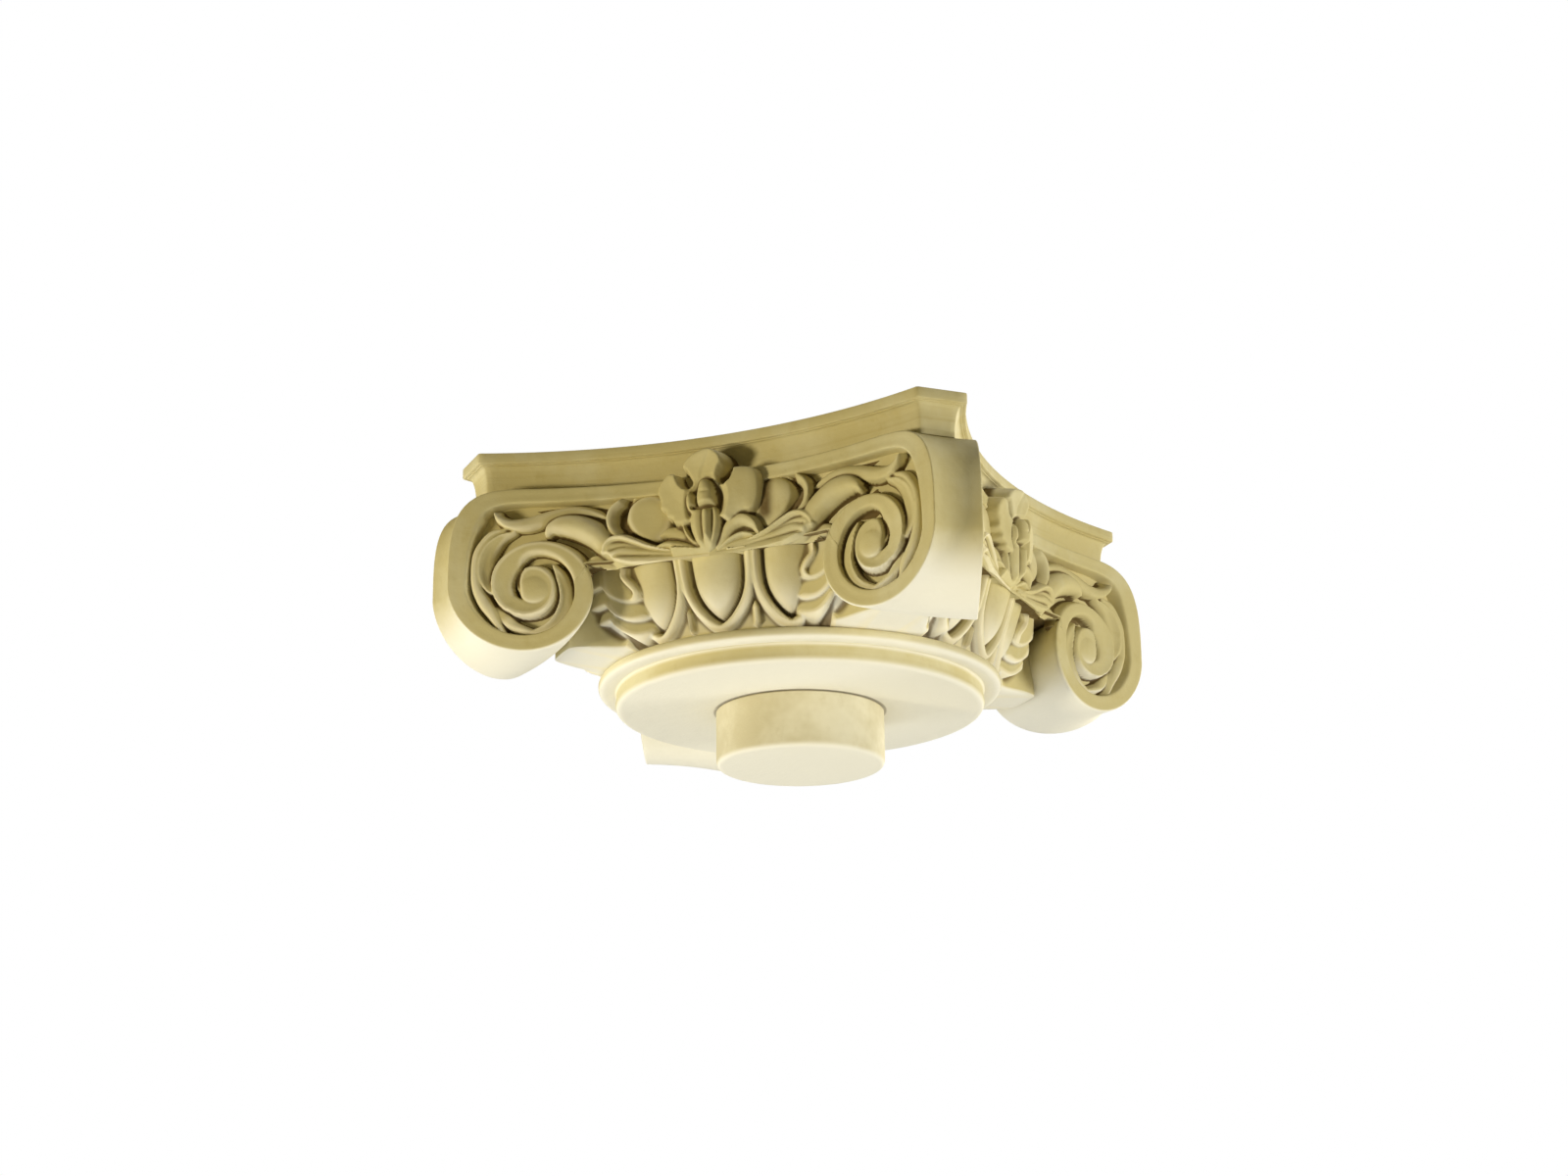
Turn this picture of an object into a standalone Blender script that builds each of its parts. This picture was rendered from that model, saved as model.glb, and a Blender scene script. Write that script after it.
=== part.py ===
"""Angular Ionic capital, cast in one, with the round spigot that locates it on its column.

Metres, Z up. The origin is the middle of the spigot's underside, the Z axis is the
capital's own axis, and the front face looks along -Y.
"""

import math

import bmesh
import bpy
from mathutils import Matrix, Vector

# Heights, from the spigot's underside upwards
SPIGOT_LENGTH = 0.043
NECK_HEIGHT = 0.014
RING_HEIGHT = 0.009
EGG_LIFT = 0.009
EGG_HEIGHT = 0.0455
FRIEZE_HEIGHT = 0.0605
ABACUS_HEIGHT = 0.030

# Turned parts
SPIGOT_RADIUS = 0.0635
NECK_RADIUS = 0.140
RING_RADIUS = 0.1525
RING_ROUND = 0.0035
ECHINUS_FOOT_RADIUS = 0.1455
ECHINUS_HEAD_RADIUS = 0.1600
JOINT_GAP = 0.0003
TURNED_STEPS = 48

# Abacus, seen in plan
ABACUS_WIDTH = 0.400
ABACUS_HOLLOW = 0.0358
CORNER_CUT = 0.0275
ABACUS_FILLET = 0.007
FILLET_STEP = 0.0025
ABACUS_SLOPE = 0.009
SIDE_STEPS = 8

# Carved faces between the corners, and the volutes
FACE_PROUD_MIDDLE = 0.0012
FACE_PROUD_CORNER = 0.0068
CANAL_DEPTH = 0.008
EYE_FROM_CORNER = 0.0405
EYE_BELOW_ABACUS = 0.078
EYE_RADIUS = 0.009
EYE_HEIGHT = 0.0045
VOLUTE_REACH = 0.057
VOLUTE_SQUARENESS = 3.6
BAND_TOP_WIDTH = 0.011
BAND_SIDE_WIDTH = 0.012
CORNER_SCOOP = 0.015
WEB_HALF_ANGLE = 7
WEB_REACH = 0.184
BLOCK_SECTIONS = 4
KEPT_SHARE = 0.505

# Spiral radii about the eye, a pair for every quarter or half quarter of a turn
OUTER_EDGE = ((1, 0.057), (2, 0.046), (3, 0.042), (4, 0.037), (5, 0.027), (6, 0.018),
              (7, 0.0145), (8, 0.0185), (8.5, 0.0145), (9, 0.0095), (9.4, 0.0080))
INNER_EDGE = ((1, 0.045), (2, 0.0335), (3, 0.029), (4, 0.0285), (4.5, 0.0170), (5, 0.0120),
              (5.4, 0.0098))

# Egg and dart
EGG_COUNT = 20
EGG_WIDTH = 0.040
EGG_BULGE = 0.0095
SHELL_WIDTH = 0.0042
SHELL_DROP = 0.004
SHELL_HEIGHT = 0.0065
DART_WIDTH = 0.010
CURL_PROUD = 0.010
CURL_WIDTH = 0.0064

# Flower in the middle of each face
FLOWER_PROUD = 0.017
PETAL_WIDTH = 0.030
PETAL_BACK = -0.017
PISTIL_WIDTH = 0.013

# Levels and places that follow from the sizes above
Z_NECK = SPIGOT_LENGTH
Z_RING = Z_NECK + NECK_HEIGHT
Z_RING_TOP = Z_RING + RING_HEIGHT
Z_EGG_TIP = Z_RING_TOP + EGG_LIFT
Z_EGG_TOP = Z_EGG_TIP + EGG_HEIGHT
Z_ABACUS = Z_EGG_TOP + FRIEZE_HEIGHT
Z_TOP = Z_ABACUS + ABACUS_HEIGHT
HALF_WIDTH = ABACUS_WIDTH / 2
CORNER_U = HALF_WIDTH - CORNER_CUT
EYE_U = CORNER_U - EYE_FROM_CORNER
EYE_Z = Z_ABACUS - EYE_BELOW_ABACUS
OVERLAP = 0.002

CAST_PLASTER = (0.80, 0.745, 0.56)
SPIGOT_PLASTER = (0.84, 0.80, 0.65)


def clear_scene():
    """Remove what the file opened with."""
    for obj in list(bpy.data.objects):
        bpy.data.objects.remove(obj, do_unlink=True)


def make_material(name, colour, roughness):
    """Matt Principled material of one colour."""
    material = bpy.data.materials.new(name)
    material.use_nodes = True
    shader = material.node_tree.nodes["Principled BSDF"]
    shader.inputs["Base Color"].default_value = (*colour, 1.0)
    shader.inputs["Roughness"].default_value = roughness
    shader.inputs["Metallic"].default_value = 0.0
    material.diffuse_color = (*colour, 1.0)
    return material


def make_object(name, mesh, collection):
    obj = bpy.data.objects.new(name, mesh)
    collection.objects.link(obj)
    return obj


def mesh_from(bm, name):
    """Finish a bmesh: outward normals, triangles on the bent faces, one mesh."""
    bmesh.ops.recalc_face_normals(bm, faces=bm.faces[:])
    bmesh.ops.triangulate(bm, faces=bm.faces[:])
    if bm.calc_volume(signed=True) < 0:
        bmesh.ops.reverse_faces(bm, faces=bm.faces[:])
    mesh = bpy.data.meshes.new(name)
    bm.to_mesh(mesh)
    bm.free()
    return mesh


def smooth_between(pairs, place):
    """Smooth value at a place between the pairs (place, value), through all of them."""
    last = len(pairs) - 1
    index = 0
    while index < last - 1 and pairs[index + 1][0] < place:
        index += 1
    before = pairs[max(index - 1, 0)]
    start = pairs[index]
    end = pairs[index + 1]
    after = pairs[min(index + 2, last)]
    span = end[0] - start[0]
    share = min(max((place - start[0]) / span, 0.0), 1.0)
    slope_in = (end[1] - before[1]) / (end[0] - before[0]) * span
    slope_out = (after[1] - start[1]) / (after[0] - start[0]) * span
    square = share * share
    cube = square * share
    return ((2 * cube - 3 * square + 1) * start[1] + (cube - 2 * square + share) * slope_in
            + (3 * square - 2 * cube) * end[1] + (cube - square) * slope_out)


# Where the carved face lies

FACE_MIDDLE = HALF_WIDTH - ABACUS_HOLLOW + FACE_PROUD_MIDDLE
FACE_SWEEP = (HALF_WIDTH + FACE_PROUD_CORNER - FACE_MIDDLE) / CORNER_U ** 2


def face_depth(u):
    """Distance of the hollow face from the axis plane, at u along the face."""
    return FACE_MIDDLE + FACE_SWEEP * u * u


def on_face(u, proud, z):
    """World point of the front face, proud metres before its surface."""
    return Vector((u, -(face_depth(u) + proud), z))


def on_echinus(angle, radius, z):
    """World point at an angle round the axis from the front face's middle."""
    return Vector((radius * math.sin(angle), -radius * math.cos(angle), z))


def plate(outline, cuts, levels):
    """Flat outline in (u, z), split at the u lines, extruded and split at each level.

    The bmesh holds (u, level, z), ready to be bent into place.
    """
    bm = bmesh.new()
    bm.faces.new([bm.verts.new((u, levels[0], z)) for u, z in outline])
    for u in cuts:
        bmesh.ops.bisect_plane(bm, geom=bm.verts[:] + bm.edges[:] + bm.faces[:],
                               plane_co=(u, 0, 0), plane_no=(1, 0, 0), dist=1e-6)
    made = bmesh.ops.extrude_face_region(bm, geom=bm.faces[:])["geom"]
    moved = [item for item in made if isinstance(item, bmesh.types.BMVert)]
    bmesh.ops.translate(bm, vec=(0, levels[-1] - levels[0], 0), verts=moved)
    for level in levels[1:-1]:
        bmesh.ops.bisect_plane(bm, geom=bm.verts[:] + bm.edges[:] + bm.faces[:],
                               plane_co=(0, level, 0), plane_no=(0, 1, 0), dist=1e-6)
    return bm


def bend(bm, place):
    for vert in bm.verts:
        vert.co = place(*vert.co)


def loft(rings, name):
    """Closed skin over rings of as many points each, capped at both ends."""
    bm = bmesh.new()
    rows = [[bm.verts.new(point) for point in ring] for ring in rings]
    bm.faces.new(rows[0])
    bm.faces.new(rows[-1])
    count = len(rows[0])
    for low, high in zip(rows, rows[1:]):
        for i in range(count):
            j = (i + 1) % count
            bm.faces.new((low[i], low[j], high[j], high[i]))
    return mesh_from(bm, name)


# Volute outline and its canal

def volute_corner(angle, across, up):
    """Radius of the squarish quarter between the top band and the volute's side."""
    power = VOLUTE_SQUARENESS
    return (((math.cos(angle) / across) ** power)
            + ((math.sin(angle) / up) ** power)) ** (-1 / power)


def spiral_point(radius, quarter):
    """Point at so many quarter turns from the top, first outwards, then down and in."""
    angle = math.pi / 2 * (1 - quarter)
    return (EYE_U + radius * math.cos(angle), EYE_Z + radius * math.sin(angle))


def outer_edge(quarter):
    up = Z_ABACUS - EYE_Z
    scale = VOLUTE_REACH / OUTER_EDGE[0][1]
    if quarter < 1:
        radius = volute_corner(math.pi / 2 * (1 - quarter), VOLUTE_REACH, up)
    else:
        radius = scale * smooth_between(OUTER_EDGE, quarter)
    return spiral_point(radius, quarter)


def inner_edge(quarter):
    up = Z_ABACUS - BAND_TOP_WIDTH - EYE_Z
    across = VOLUTE_REACH - BAND_SIDE_WIDTH
    scale = across / INNER_EDGE[0][1]
    if quarter < 1:
        radius = volute_corner(math.pi / 2 * (1 - quarter), across, up)
    else:
        radius = scale * smooth_between(INNER_EDGE, quarter)
    return spiral_point(radius, quarter)


def steps(start, end, size):
    """Values from start to end, about a size apart, with both ends."""
    count = max(1, round(abs(end - start) / size))
    return [start + (end - start) * i / count for i in range(count + 1)]


def frieze_cuts():
    """Lines across the frieze where its bent faces are split."""
    return [EYE_U * share for share in (0.35, 0.7, 1.0)]


def corner_block():
    """Solid of a corner: the two volutes and half of each frieze, with a scooped band between."""
    outline = [(-OVERLAP, Z_ABACUS)]
    outline += [outer_edge(q) for q in steps(0, 1, 0.15)]
    outline += [outer_edge(q) for q in steps(1, 3.3, 0.23)[1:]]
    outline.append((-OVERLAP, outline[-1][1]))
    shares = [i / BLOCK_SECTIONS for i in range(BLOCK_SECTIONS + 1)]
    bm = plate(outline, frieze_cuts(), shares)

    def place(u, share, z):
        front = on_face(u, 0, z)
        side = Vector((-front.y, -front.x, z))
        scoop = CORNER_SCOOP * 4 * share * (1 - share) / math.sqrt(2)
        return front.lerp(side, share) + Vector((-scoop, scoop, 0))

    bend(bm, place)
    return mesh_from(bm, "corner_block")


def corner_web():
    """Plain web that ties the volutes' roll back to the echinus at a corner."""
    half = math.radians(WEB_HALF_ANGLE)
    rings = []
    for z in (Z_RING_TOP + EGG_LIFT * 0.5, Z_ABACUS):
        rings.append([on_echinus(math.pi / 4 - half, ECHINUS_FOOT_RADIUS * 0.9, z),
                      on_echinus(math.pi / 4 - half, WEB_REACH, z),
                      on_echinus(math.pi / 4, WEB_REACH, z),
                      on_echinus(math.pi / 4 + half, WEB_REACH, z),
                      on_echinus(math.pi / 4 + half, ECHINUS_FOOT_RADIUS * 0.9, z)])
    return loft(rings, "corner_web")


def canal_cutter():
    """The sunk canal: along the frieze and round the volute to the eye."""
    top = Z_ABACUS - BAND_TOP_WIDTH
    low = Z_EGG_TOP - OVERLAP * 3
    outline = [(-OVERLAP, top)]
    outline += [inner_edge(q) for q in steps(0, 1, 0.2)]
    outline += [inner_edge(q) for q in steps(1, 5.4, 0.25)[1:]]
    outline += [outer_edge(q) for q in reversed(steps(3.25, 9.4, 0.27))]
    outline += [(outline[-1][0] - OVERLAP * 2, low), (-OVERLAP, low)]
    bm = plate(outline, frieze_cuts(), (-CANAL_DEPTH, OVERLAP * 3))
    bend(bm, on_face)
    return mesh_from(bm, "canal_cutter")


# Leaves, eggs and flower

def blade(stations, place, back, name, flat=0.0):
    """Leaf along a spine of (u, z, half width, crest height).

    It is ridged along its middle, or flat over that share of its width.
    """
    rings = []
    for i, (u, z, half, crest) in enumerate(stations):
        ahead = stations[min(i + 1, len(stations) - 1)]
        behind = stations[max(i - 1, 0)]
        along = Vector((ahead[0] - behind[0], ahead[1] - behind[1])).normalized()
        side = Vector((-along.y, along.x)) * half
        ring = [place(u - side.x, back, z - side.y), place(u + side.x, back, z + side.y)]
        if flat:
            ring[1:1] = [place(u - side.x * flat, crest, z - side.y * flat),
                         place(u + side.x * flat, crest, z + side.y * flat)]
        else:
            ring.insert(1, place(u, crest, z))
        rings.append(ring)
    return loft(rings, name)


def frieze_spot(along, up):
    """Place on the frieze as shares: 1 along at the eye, 1 up at the abacus."""
    return EYE_U * along, Z_EGG_TOP + FRIEZE_HEIGHT * up


def leaf(stations, name):
    """Leaf on the face: (along, up, half width, crest), all but along in frieze heights."""
    points = [(*frieze_spot(along, up), half * FRIEZE_HEIGHT, crest * FRIEZE_HEIGHT)
              for along, up, half, crest in stations]
    return blade(points, on_face, -CANAL_DEPTH - OVERLAP, name)


def volute_lobe(start, end, radii, half, crest, name):
    """Lobe lying in the volute's canal, from one quarter turn to another."""
    points = []
    for i, quarter in enumerate(steps(start, end, (end - start) / 4)):
        radius = VOLUTE_REACH * (radii[0] + (radii[1] - radii[0]) * i / 4)
        width = half * VOLUTE_REACH * (0.15 + 0.85 * math.sin(math.pi * (0.15 + 0.85 * i / 4)))
        points.append((*spiral_point(radius, quarter), max(width, OVERLAP * 0.3),
                       -crest * CANAL_DEPTH))
    return blade(points, on_face, -CANAL_DEPTH - OVERLAP, name)


def lump(u, proud, z, half_u, half_proud, half_z, name, segments=7, rings=5):
    """Rounded lump on the front face."""
    bm = bmesh.new()
    bmesh.ops.create_uvsphere(bm, u_segments=segments, v_segments=rings, radius=1.0)
    for vert in bm.verts:
        x, y, height = vert.co
        vert.co = on_face(u + x * half_u, proud - y * half_proud, z + height * half_z)
    return mesh_from(bm, name)


def half_face_leaves():
    """Leaves of the face's right half: over the volute, behind the flower and below."""
    meshes = [
        leaf(((0.56, 0.04, 0.10, 0.0), (0.64, 0.20, 0.15, 0.02), (0.73, 0.38, 0.17, 0.05),
              (0.83, 0.51, 0.14, 0.05), (0.92, 0.50, 0.02, 0.0)), "leaf_over_volute"),
        leaf(((0.28, 0.34, 0.16, -0.04), (0.38, 0.50, 0.27, 0.02), (0.47, 0.58, 0.22, 0.05),
              (0.57, 0.60, 0.05, 0.0)), "leaf_behind_flower"),
        leaf(((0.0, 0.07, 0.065, 0.07), (0.25, 0.10, 0.09, 0.10), (0.47, 0.145, 0.14, 0.10),
              (0.60, 0.13, 0.08, 0.05), (0.66, 0.08, 0.02, 0.0)), "calyx_leaf"),
        volute_lobe(0.15, 1.25, (0.74, 0.56), 0.08, 0.12, "canal_lobe_high"),
        volute_lobe(0.75, 2.0, (0.82, 0.49), 0.08, 0.25, "canal_lobe_low"),
        lump(EYE_U, 0, EYE_Z, EYE_RADIUS, EYE_HEIGHT, EYE_RADIUS, "eye", 6, 4),
    ]
    return meshes


def palmette_curl(up, near, far, bulge, name):
    """One of the curls stacked beside the volute, lying over the outer egg.

    It runs round the echinus from the angle far, by the volute, to the angle near.
    """
    middle = Z_EGG_TIP + EGG_HEIGHT * up
    points = []
    for i in range(5):
        share = i / 4
        half = CURL_WIDTH * (0.12 + math.sin(math.pi * min(share + 0.15, 1.0)))
        crest = CURL_PROUD * math.sin(math.pi * min(share + 0.2, 1.0))
        points.append((math.radians(far + (near - far) * share) * ECHINUS_HEAD_RADIUS,
                       middle + bulge * EGG_HEIGHT * math.sin(math.pi * share), half, crest))

    def place(around, proud, z):
        return on_echinus(around / ECHINUS_HEAD_RADIUS, ECHINUS_HEAD_RADIUS + proud, z)

    return blade(points, place, -CURL_PROUD, name)


def palmette():
    return [palmette_curl(0.84, 25.5, 40, 0.11, "curl_top"),
            palmette_curl(0.48, 24, 40, 0.06, "curl_middle"),
            palmette_curl(0.22, 26, 40, -0.04, "curl_low")]


def echinus_radius(z):
    share = (z - Z_EGG_TIP) / EGG_HEIGHT
    return ECHINUS_FOOT_RADIUS + (ECHINUS_HEAD_RADIUS - ECHINUS_FOOT_RADIUS) * share


def egg(angle):
    """Egg with a pointed foot, its upper end running in under the frieze."""
    bm = bmesh.new()
    bmesh.ops.create_uvsphere(bm, u_segments=8, v_segments=6, radius=1.0)
    middle = Z_EGG_TIP + EGG_HEIGHT * 0.72
    for vert in bm.verts:
        across, out, height = vert.co
        point = 1.0 - 0.25 * max(-height, 0.0)
        z = middle + height * EGG_HEIGHT * (0.72 if height < 0 else 0.42)
        radius = echinus_radius(z) - OVERLAP / 2 - out * EGG_BULGE
        spread = across * point * EGG_WIDTH / 2 / ECHINUS_HEAD_RADIUS
        vert.co = on_echinus(angle + spread, radius, z)
    return mesh_from(bm, "egg")


def shell(angle):
    """Raised shell round an egg, meeting in a point below it."""
    rings = []
    half_pitch = math.pi / EGG_COUNT * ECHINUS_HEAD_RADIUS
    tip = Z_EGG_TIP - SHELL_DROP
    for i in range(7):
        turn = math.pi * (i / 6 - 0.5) * 0.98
        across = half_pitch * math.sin(turn)
        z = Z_EGG_TOP - (Z_EGG_TOP - tip) * abs(math.cos(turn)) ** 0.80
        inside = across * (1 - SHELL_WIDTH / half_pitch)
        rise = z + SHELL_WIDTH * 1.25 * abs(math.cos(turn)) ** 0.5
        radius = echinus_radius(z)
        out = radius + SHELL_HEIGHT
        back = radius - SHELL_WIDTH
        outer = angle + across / ECHINUS_HEAD_RADIUS
        inner = angle + inside / ECHINUS_HEAD_RADIUS
        rings.append([on_echinus(outer, back, z), on_echinus((outer + inner) / 2, out, z),
                      on_echinus(inner, back, rise)])
    return loft(rings, "shell")


def dart(angle):
    """Small dart between two shells."""
    bm = bmesh.new()
    bmesh.ops.create_cone(bm, cap_ends=True, segments=4, radius1=1.0, radius2=0.05, depth=2.0)
    foot = Z_EGG_TIP - SHELL_DROP * 1.2
    height = EGG_HEIGHT * 0.4
    for vert in bm.verts:
        across, out, up = vert.co
        z = foot + height * (up + 1) / 2
        radius = echinus_radius(z) - OVERLAP / 2 - out * SHELL_HEIGHT * 0.8
        vert.co = on_echinus(angle + across * DART_WIDTH / 2 / ECHINUS_HEAD_RADIUS, radius, z)
    return mesh_from(bm, "dart")


def petal(stations, name):
    """Petal of the flower: (u, up, half width, crest) for each station."""
    points = [(u, Z_EGG_TOP + FRIEZE_HEIGHT * up, half, crest)
              for u, up, half, crest in stations]
    return blade(points, on_face, PETAL_BACK, name, 0.75)


def flower():
    """Flower over the middle of the frieze: five petals, a pistil and a husk."""
    half = PETAL_WIDTH / 2
    proud = FLOWER_PROUD
    meshes = [
        petal(((0, 0.62, half * 0.5, proud * 0.3), (0, 0.80, half * 0.85, proud * 0.6),
               (0, 1.00, half * 1.05, proud), (0, 1.13, half * 0.9, proud * 1.05),
               (0, 1.21, half * 0.4, proud * 0.8)), "petal_top"),
        lump(0, proud * 0.6, Z_EGG_TOP + FRIEZE_HEIGHT * 0.70, PISTIL_WIDTH / 2,
             proud * 0.5, FRIEZE_HEIGHT * 0.20, "pistil", 6, 5),
        lump(0, proud * 0.3, Z_EGG_TOP + FRIEZE_HEIGHT * 0.31, PISTIL_WIDTH * 0.85,
             proud * 0.6, FRIEZE_HEIGHT * 0.27, "husk", 6, 5),
    ]
    for side in (-1, 1):
        meshes.append(petal(((side * half * 0.6, 0.47, half * 0.5, proud * 0.2),
                             (side * half * 1.35, 0.60, half * 0.95, proud * 0.55),
                             (side * half * 1.9, 0.76, half * 1.05, proud * 0.65),
                             (side * half * 2.3, 0.94, half * 0.6, proud * 0.4)),
                            "petal_side"))
        meshes.append(petal(((side * half * 0.4, 0.36, half * 0.4, proud * 0.1),
                             (side * half * 1.2, 0.27, half * 0.55, proud * 0.55),
                             (side * half * 2.0, 0.19, half * 0.55, proud * 0.6),
                             (side * half * 2.6, 0.22, half * 0.25, proud * 0.4)),
                            "petal_low"))
    return meshes


def add_copies(mesh, name, turns, mirrored, collection):
    """Link the mesh turned round the axis, and its mirror image too where asked."""
    flips = (1, -1) if mirrored else (1,)
    for turn in turns:
        for flip in flips:
            copy = mesh.copy()
            copy.transform(Matrix.Scale(flip, 4, (1, 0, 0)))
            if flip < 0:
                copy.flip_normals()
            copy.transform(Matrix.Rotation(turn, 4, "Z"))
            make_object(name, copy, collection)


def abacus_ring(inset, z):
    """Plan of the abacus, its hollow sides and cut corners moved in by an inset."""
    chord = CORNER_U
    radius = (chord ** 2 + ABACUS_HOLLOW ** 2) / (2 * ABACUS_HOLLOW)
    centre = HALF_WIDTH - ABACUS_HOLLOW + radius
    reach = ((CORNER_U + HALF_WIDTH) / math.sqrt(2) - inset) / math.sqrt(2)
    slack = reach ** 2 + (centre - reach) ** 2 - (radius + inset) ** 2
    shift = (centre - math.sqrt(centre ** 2 - 2 * slack)) / 2
    end = math.asin((reach - shift) / (radius + inset))
    side = []
    for i in range(SIDE_STEPS + 1):
        angle = end * (2 * i / SIDE_STEPS - 1)
        side.append(Vector(((radius + inset) * math.sin(angle),
                            (radius + inset) * math.cos(angle) - centre, z)))
    ring = []
    for quarter in range(4):
        turn = Matrix.Rotation(quarter * math.pi / 2, 3, "Z")
        ring += [turn @ point for point in side]
    return ring


def abacus():
    """Abacus: a fillet over a hollow moulding, let into the corner blocks below."""
    rings = [abacus_ring(0, Z_TOP), abacus_ring(0, Z_TOP - ABACUS_FILLET)]
    step = Z_TOP - ABACUS_FILLET
    fall = step - OVERLAP * 0.3 - Z_ABACUS
    for i in range(3):
        share = i / 2
        inset = FILLET_STEP + (ABACUS_SLOPE - FILLET_STEP) * math.sin(share * math.pi / 2)
        rings.append(abacus_ring(inset, step - OVERLAP * 0.3 - fall * (1 - math.cos(share * math.pi / 2))))
    rings.append(abacus_ring(ABACUS_SLOPE, Z_ABACUS - OVERLAP))
    return loft(rings, "abacus")


def turned(profile, name, collection):
    """Profile of (radius, z) swept round the axis by a Screw, as a mesh."""
    mesh = bpy.data.meshes.new(name)
    points = [(radius, 0, z) for radius, z in profile]
    mesh.from_pydata(points, [(i, i + 1) for i in range(len(points) - 1)], [])
    obj = make_object(name, mesh, collection)
    screw = obj.modifiers.new("Turn", "SCREW")
    screw.steps = TURNED_STEPS
    screw.render_steps = TURNED_STEPS
    screw.use_merge_vertices = True
    screw.merge_threshold = 0.00005
    screw.use_normal_calculate = True
    return obj


def core(collection):
    """Neck, overhanging ring and echinus, turned in one."""
    ring_mid = Z_RING + RING_HEIGHT * 0.45
    profile = (
        (0, Z_ABACUS + OVERLAP),
        (ECHINUS_HEAD_RADIUS - OVERLAP * 4, Z_ABACUS + OVERLAP),
        (ECHINUS_HEAD_RADIUS, Z_EGG_TOP + OVERLAP),
        (echinus_radius(Z_EGG_TIP + EGG_HEIGHT * 0.45), Z_EGG_TIP + EGG_HEIGHT * 0.45),
        (ECHINUS_FOOT_RADIUS, Z_EGG_TIP - SHELL_DROP * 0.5),
        (RING_RADIUS - RING_ROUND, Z_RING_TOP),
        (RING_RADIUS, ring_mid),
        (RING_RADIUS - RING_ROUND, Z_RING),
        (NECK_RADIUS, Z_RING),
        (NECK_RADIUS, Z_NECK + OVERLAP),
        (NECK_RADIUS - OVERLAP, Z_NECK),
        (0, Z_NECK),
    )
    return turned(profile, "core", collection)


def add_union(obj, collection, name):
    modifier = obj.modifiers.new(name, "BOOLEAN")
    modifier.operation = "UNION"
    modifier.solver = "EXACT"
    modifier.operand_type = "COLLECTION"
    modifier.collection = collection


def new_collection(name, parent, hidden):
    collection = bpy.data.collections.new(name)
    parent.children.link(collection)
    collection.hide_render = hidden
    return collection


def build_capital(shown, material):
    """The one-piece casting: corner blocks, canals cut, then all that is carved added."""
    scene = bpy.context.scene.collection
    blocks = new_collection("corner_blocks", scene, True)
    canals = new_collection("canal_cutters", scene, True)
    carving = new_collection("carving", scene, True)
    quarters = [i * math.pi / 2 for i in range(4)]

    block = corner_block()
    capital = make_object("capital", block, shown)
    add_copies(block, "corner_block", quarters[1:], False, blocks)
    add_copies(canal_cutter(), "canal", quarters, True, canals)

    for mesh in half_face_leaves() + palmette():
        add_copies(mesh, mesh.name, quarters, True, carving)
    for mesh in flower():
        add_copies(mesh, mesh.name, quarters, False, carving)
    pitch = 2 * math.pi / EGG_COUNT
    eggs = [pitch * i for i in range(EGG_COUNT)]
    add_copies(egg(0), "egg", eggs, False, carving)
    add_copies(shell(0), "shell", eggs, False, carving)
    add_copies(dart(0), "dart", [angle + pitch / 2 for angle in eggs], False, carving)
    add_copies(corner_web(), "corner_web", quarters, False, carving)
    make_object("abacus", abacus(), carving)
    core(carving)

    add_union(capital, blocks, "Join corners")
    cut = capital.modifiers.new("Cut canals", "BOOLEAN")
    cut.operation = "DIFFERENCE"
    cut.solver = "EXACT"
    cut.operand_type = "COLLECTION"
    cut.collection = canals
    add_union(capital, carving, "Join carving")
    thin = capital.modifiers.new("Fewer triangles", "DECIMATE")
    thin.ratio = KEPT_SHARE
    thin.use_collapse_triangulate = True
    thin.use_symmetry = True
    thin.symmetry_axis = "X"
    capital.data.materials.append(material)
    for collection in (blocks, canals, carving):
        for obj in collection.objects:
            obj.hide_render = True
            obj.display_type = "WIRE"
    return capital


def build_spigot(shown, material):
    """Round plug under the neck, a hairline joint below it."""
    length = SPIGOT_LENGTH - JOINT_GAP
    bpy.ops.mesh.primitive_cylinder_add(vertices=TURNED_STEPS, radius=SPIGOT_RADIUS,
                                        depth=length, location=(0, 0, length / 2))
    spigot = bpy.context.object
    spigot.name = "locating_spigot"
    for collection in list(spigot.users_collection):
        collection.objects.unlink(spigot)
    shown.objects.link(spigot)
    bevel = spigot.modifiers.new("Soft edge", "BEVEL")
    bevel.width = OVERLAP
    bevel.segments = 1
    bevel.limit_method = "ANGLE"
    bevel.angle_limit = math.radians(40)
    spigot.data.materials.append(material)
    return spigot


def main():
    clear_scene()
    shown = new_collection("ionic_capital", bpy.context.scene.collection, False)
    build_capital(shown, make_material("cast_plaster", CAST_PLASTER, 0.75))
    build_spigot(shown, make_material("spigot_plaster", SPIGOT_PLASTER, 0.7))


main()
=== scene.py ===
"""Finished look of an angular Ionic capital, cast in plaster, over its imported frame.

Metres, Z up, the front face looks along -Y. The carving of one half face, one egg and
one flower is modelled once and copied round the capital.
"""

import logging
import math
from collections.abc import Iterable, Sequence
from dataclasses import dataclass
from enum import Enum

import bmesh
import bpy
import numpy as np
from bpy.types import Material, NodeSocket as Socket, Object
from mathutils import Matrix, Vector


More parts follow.
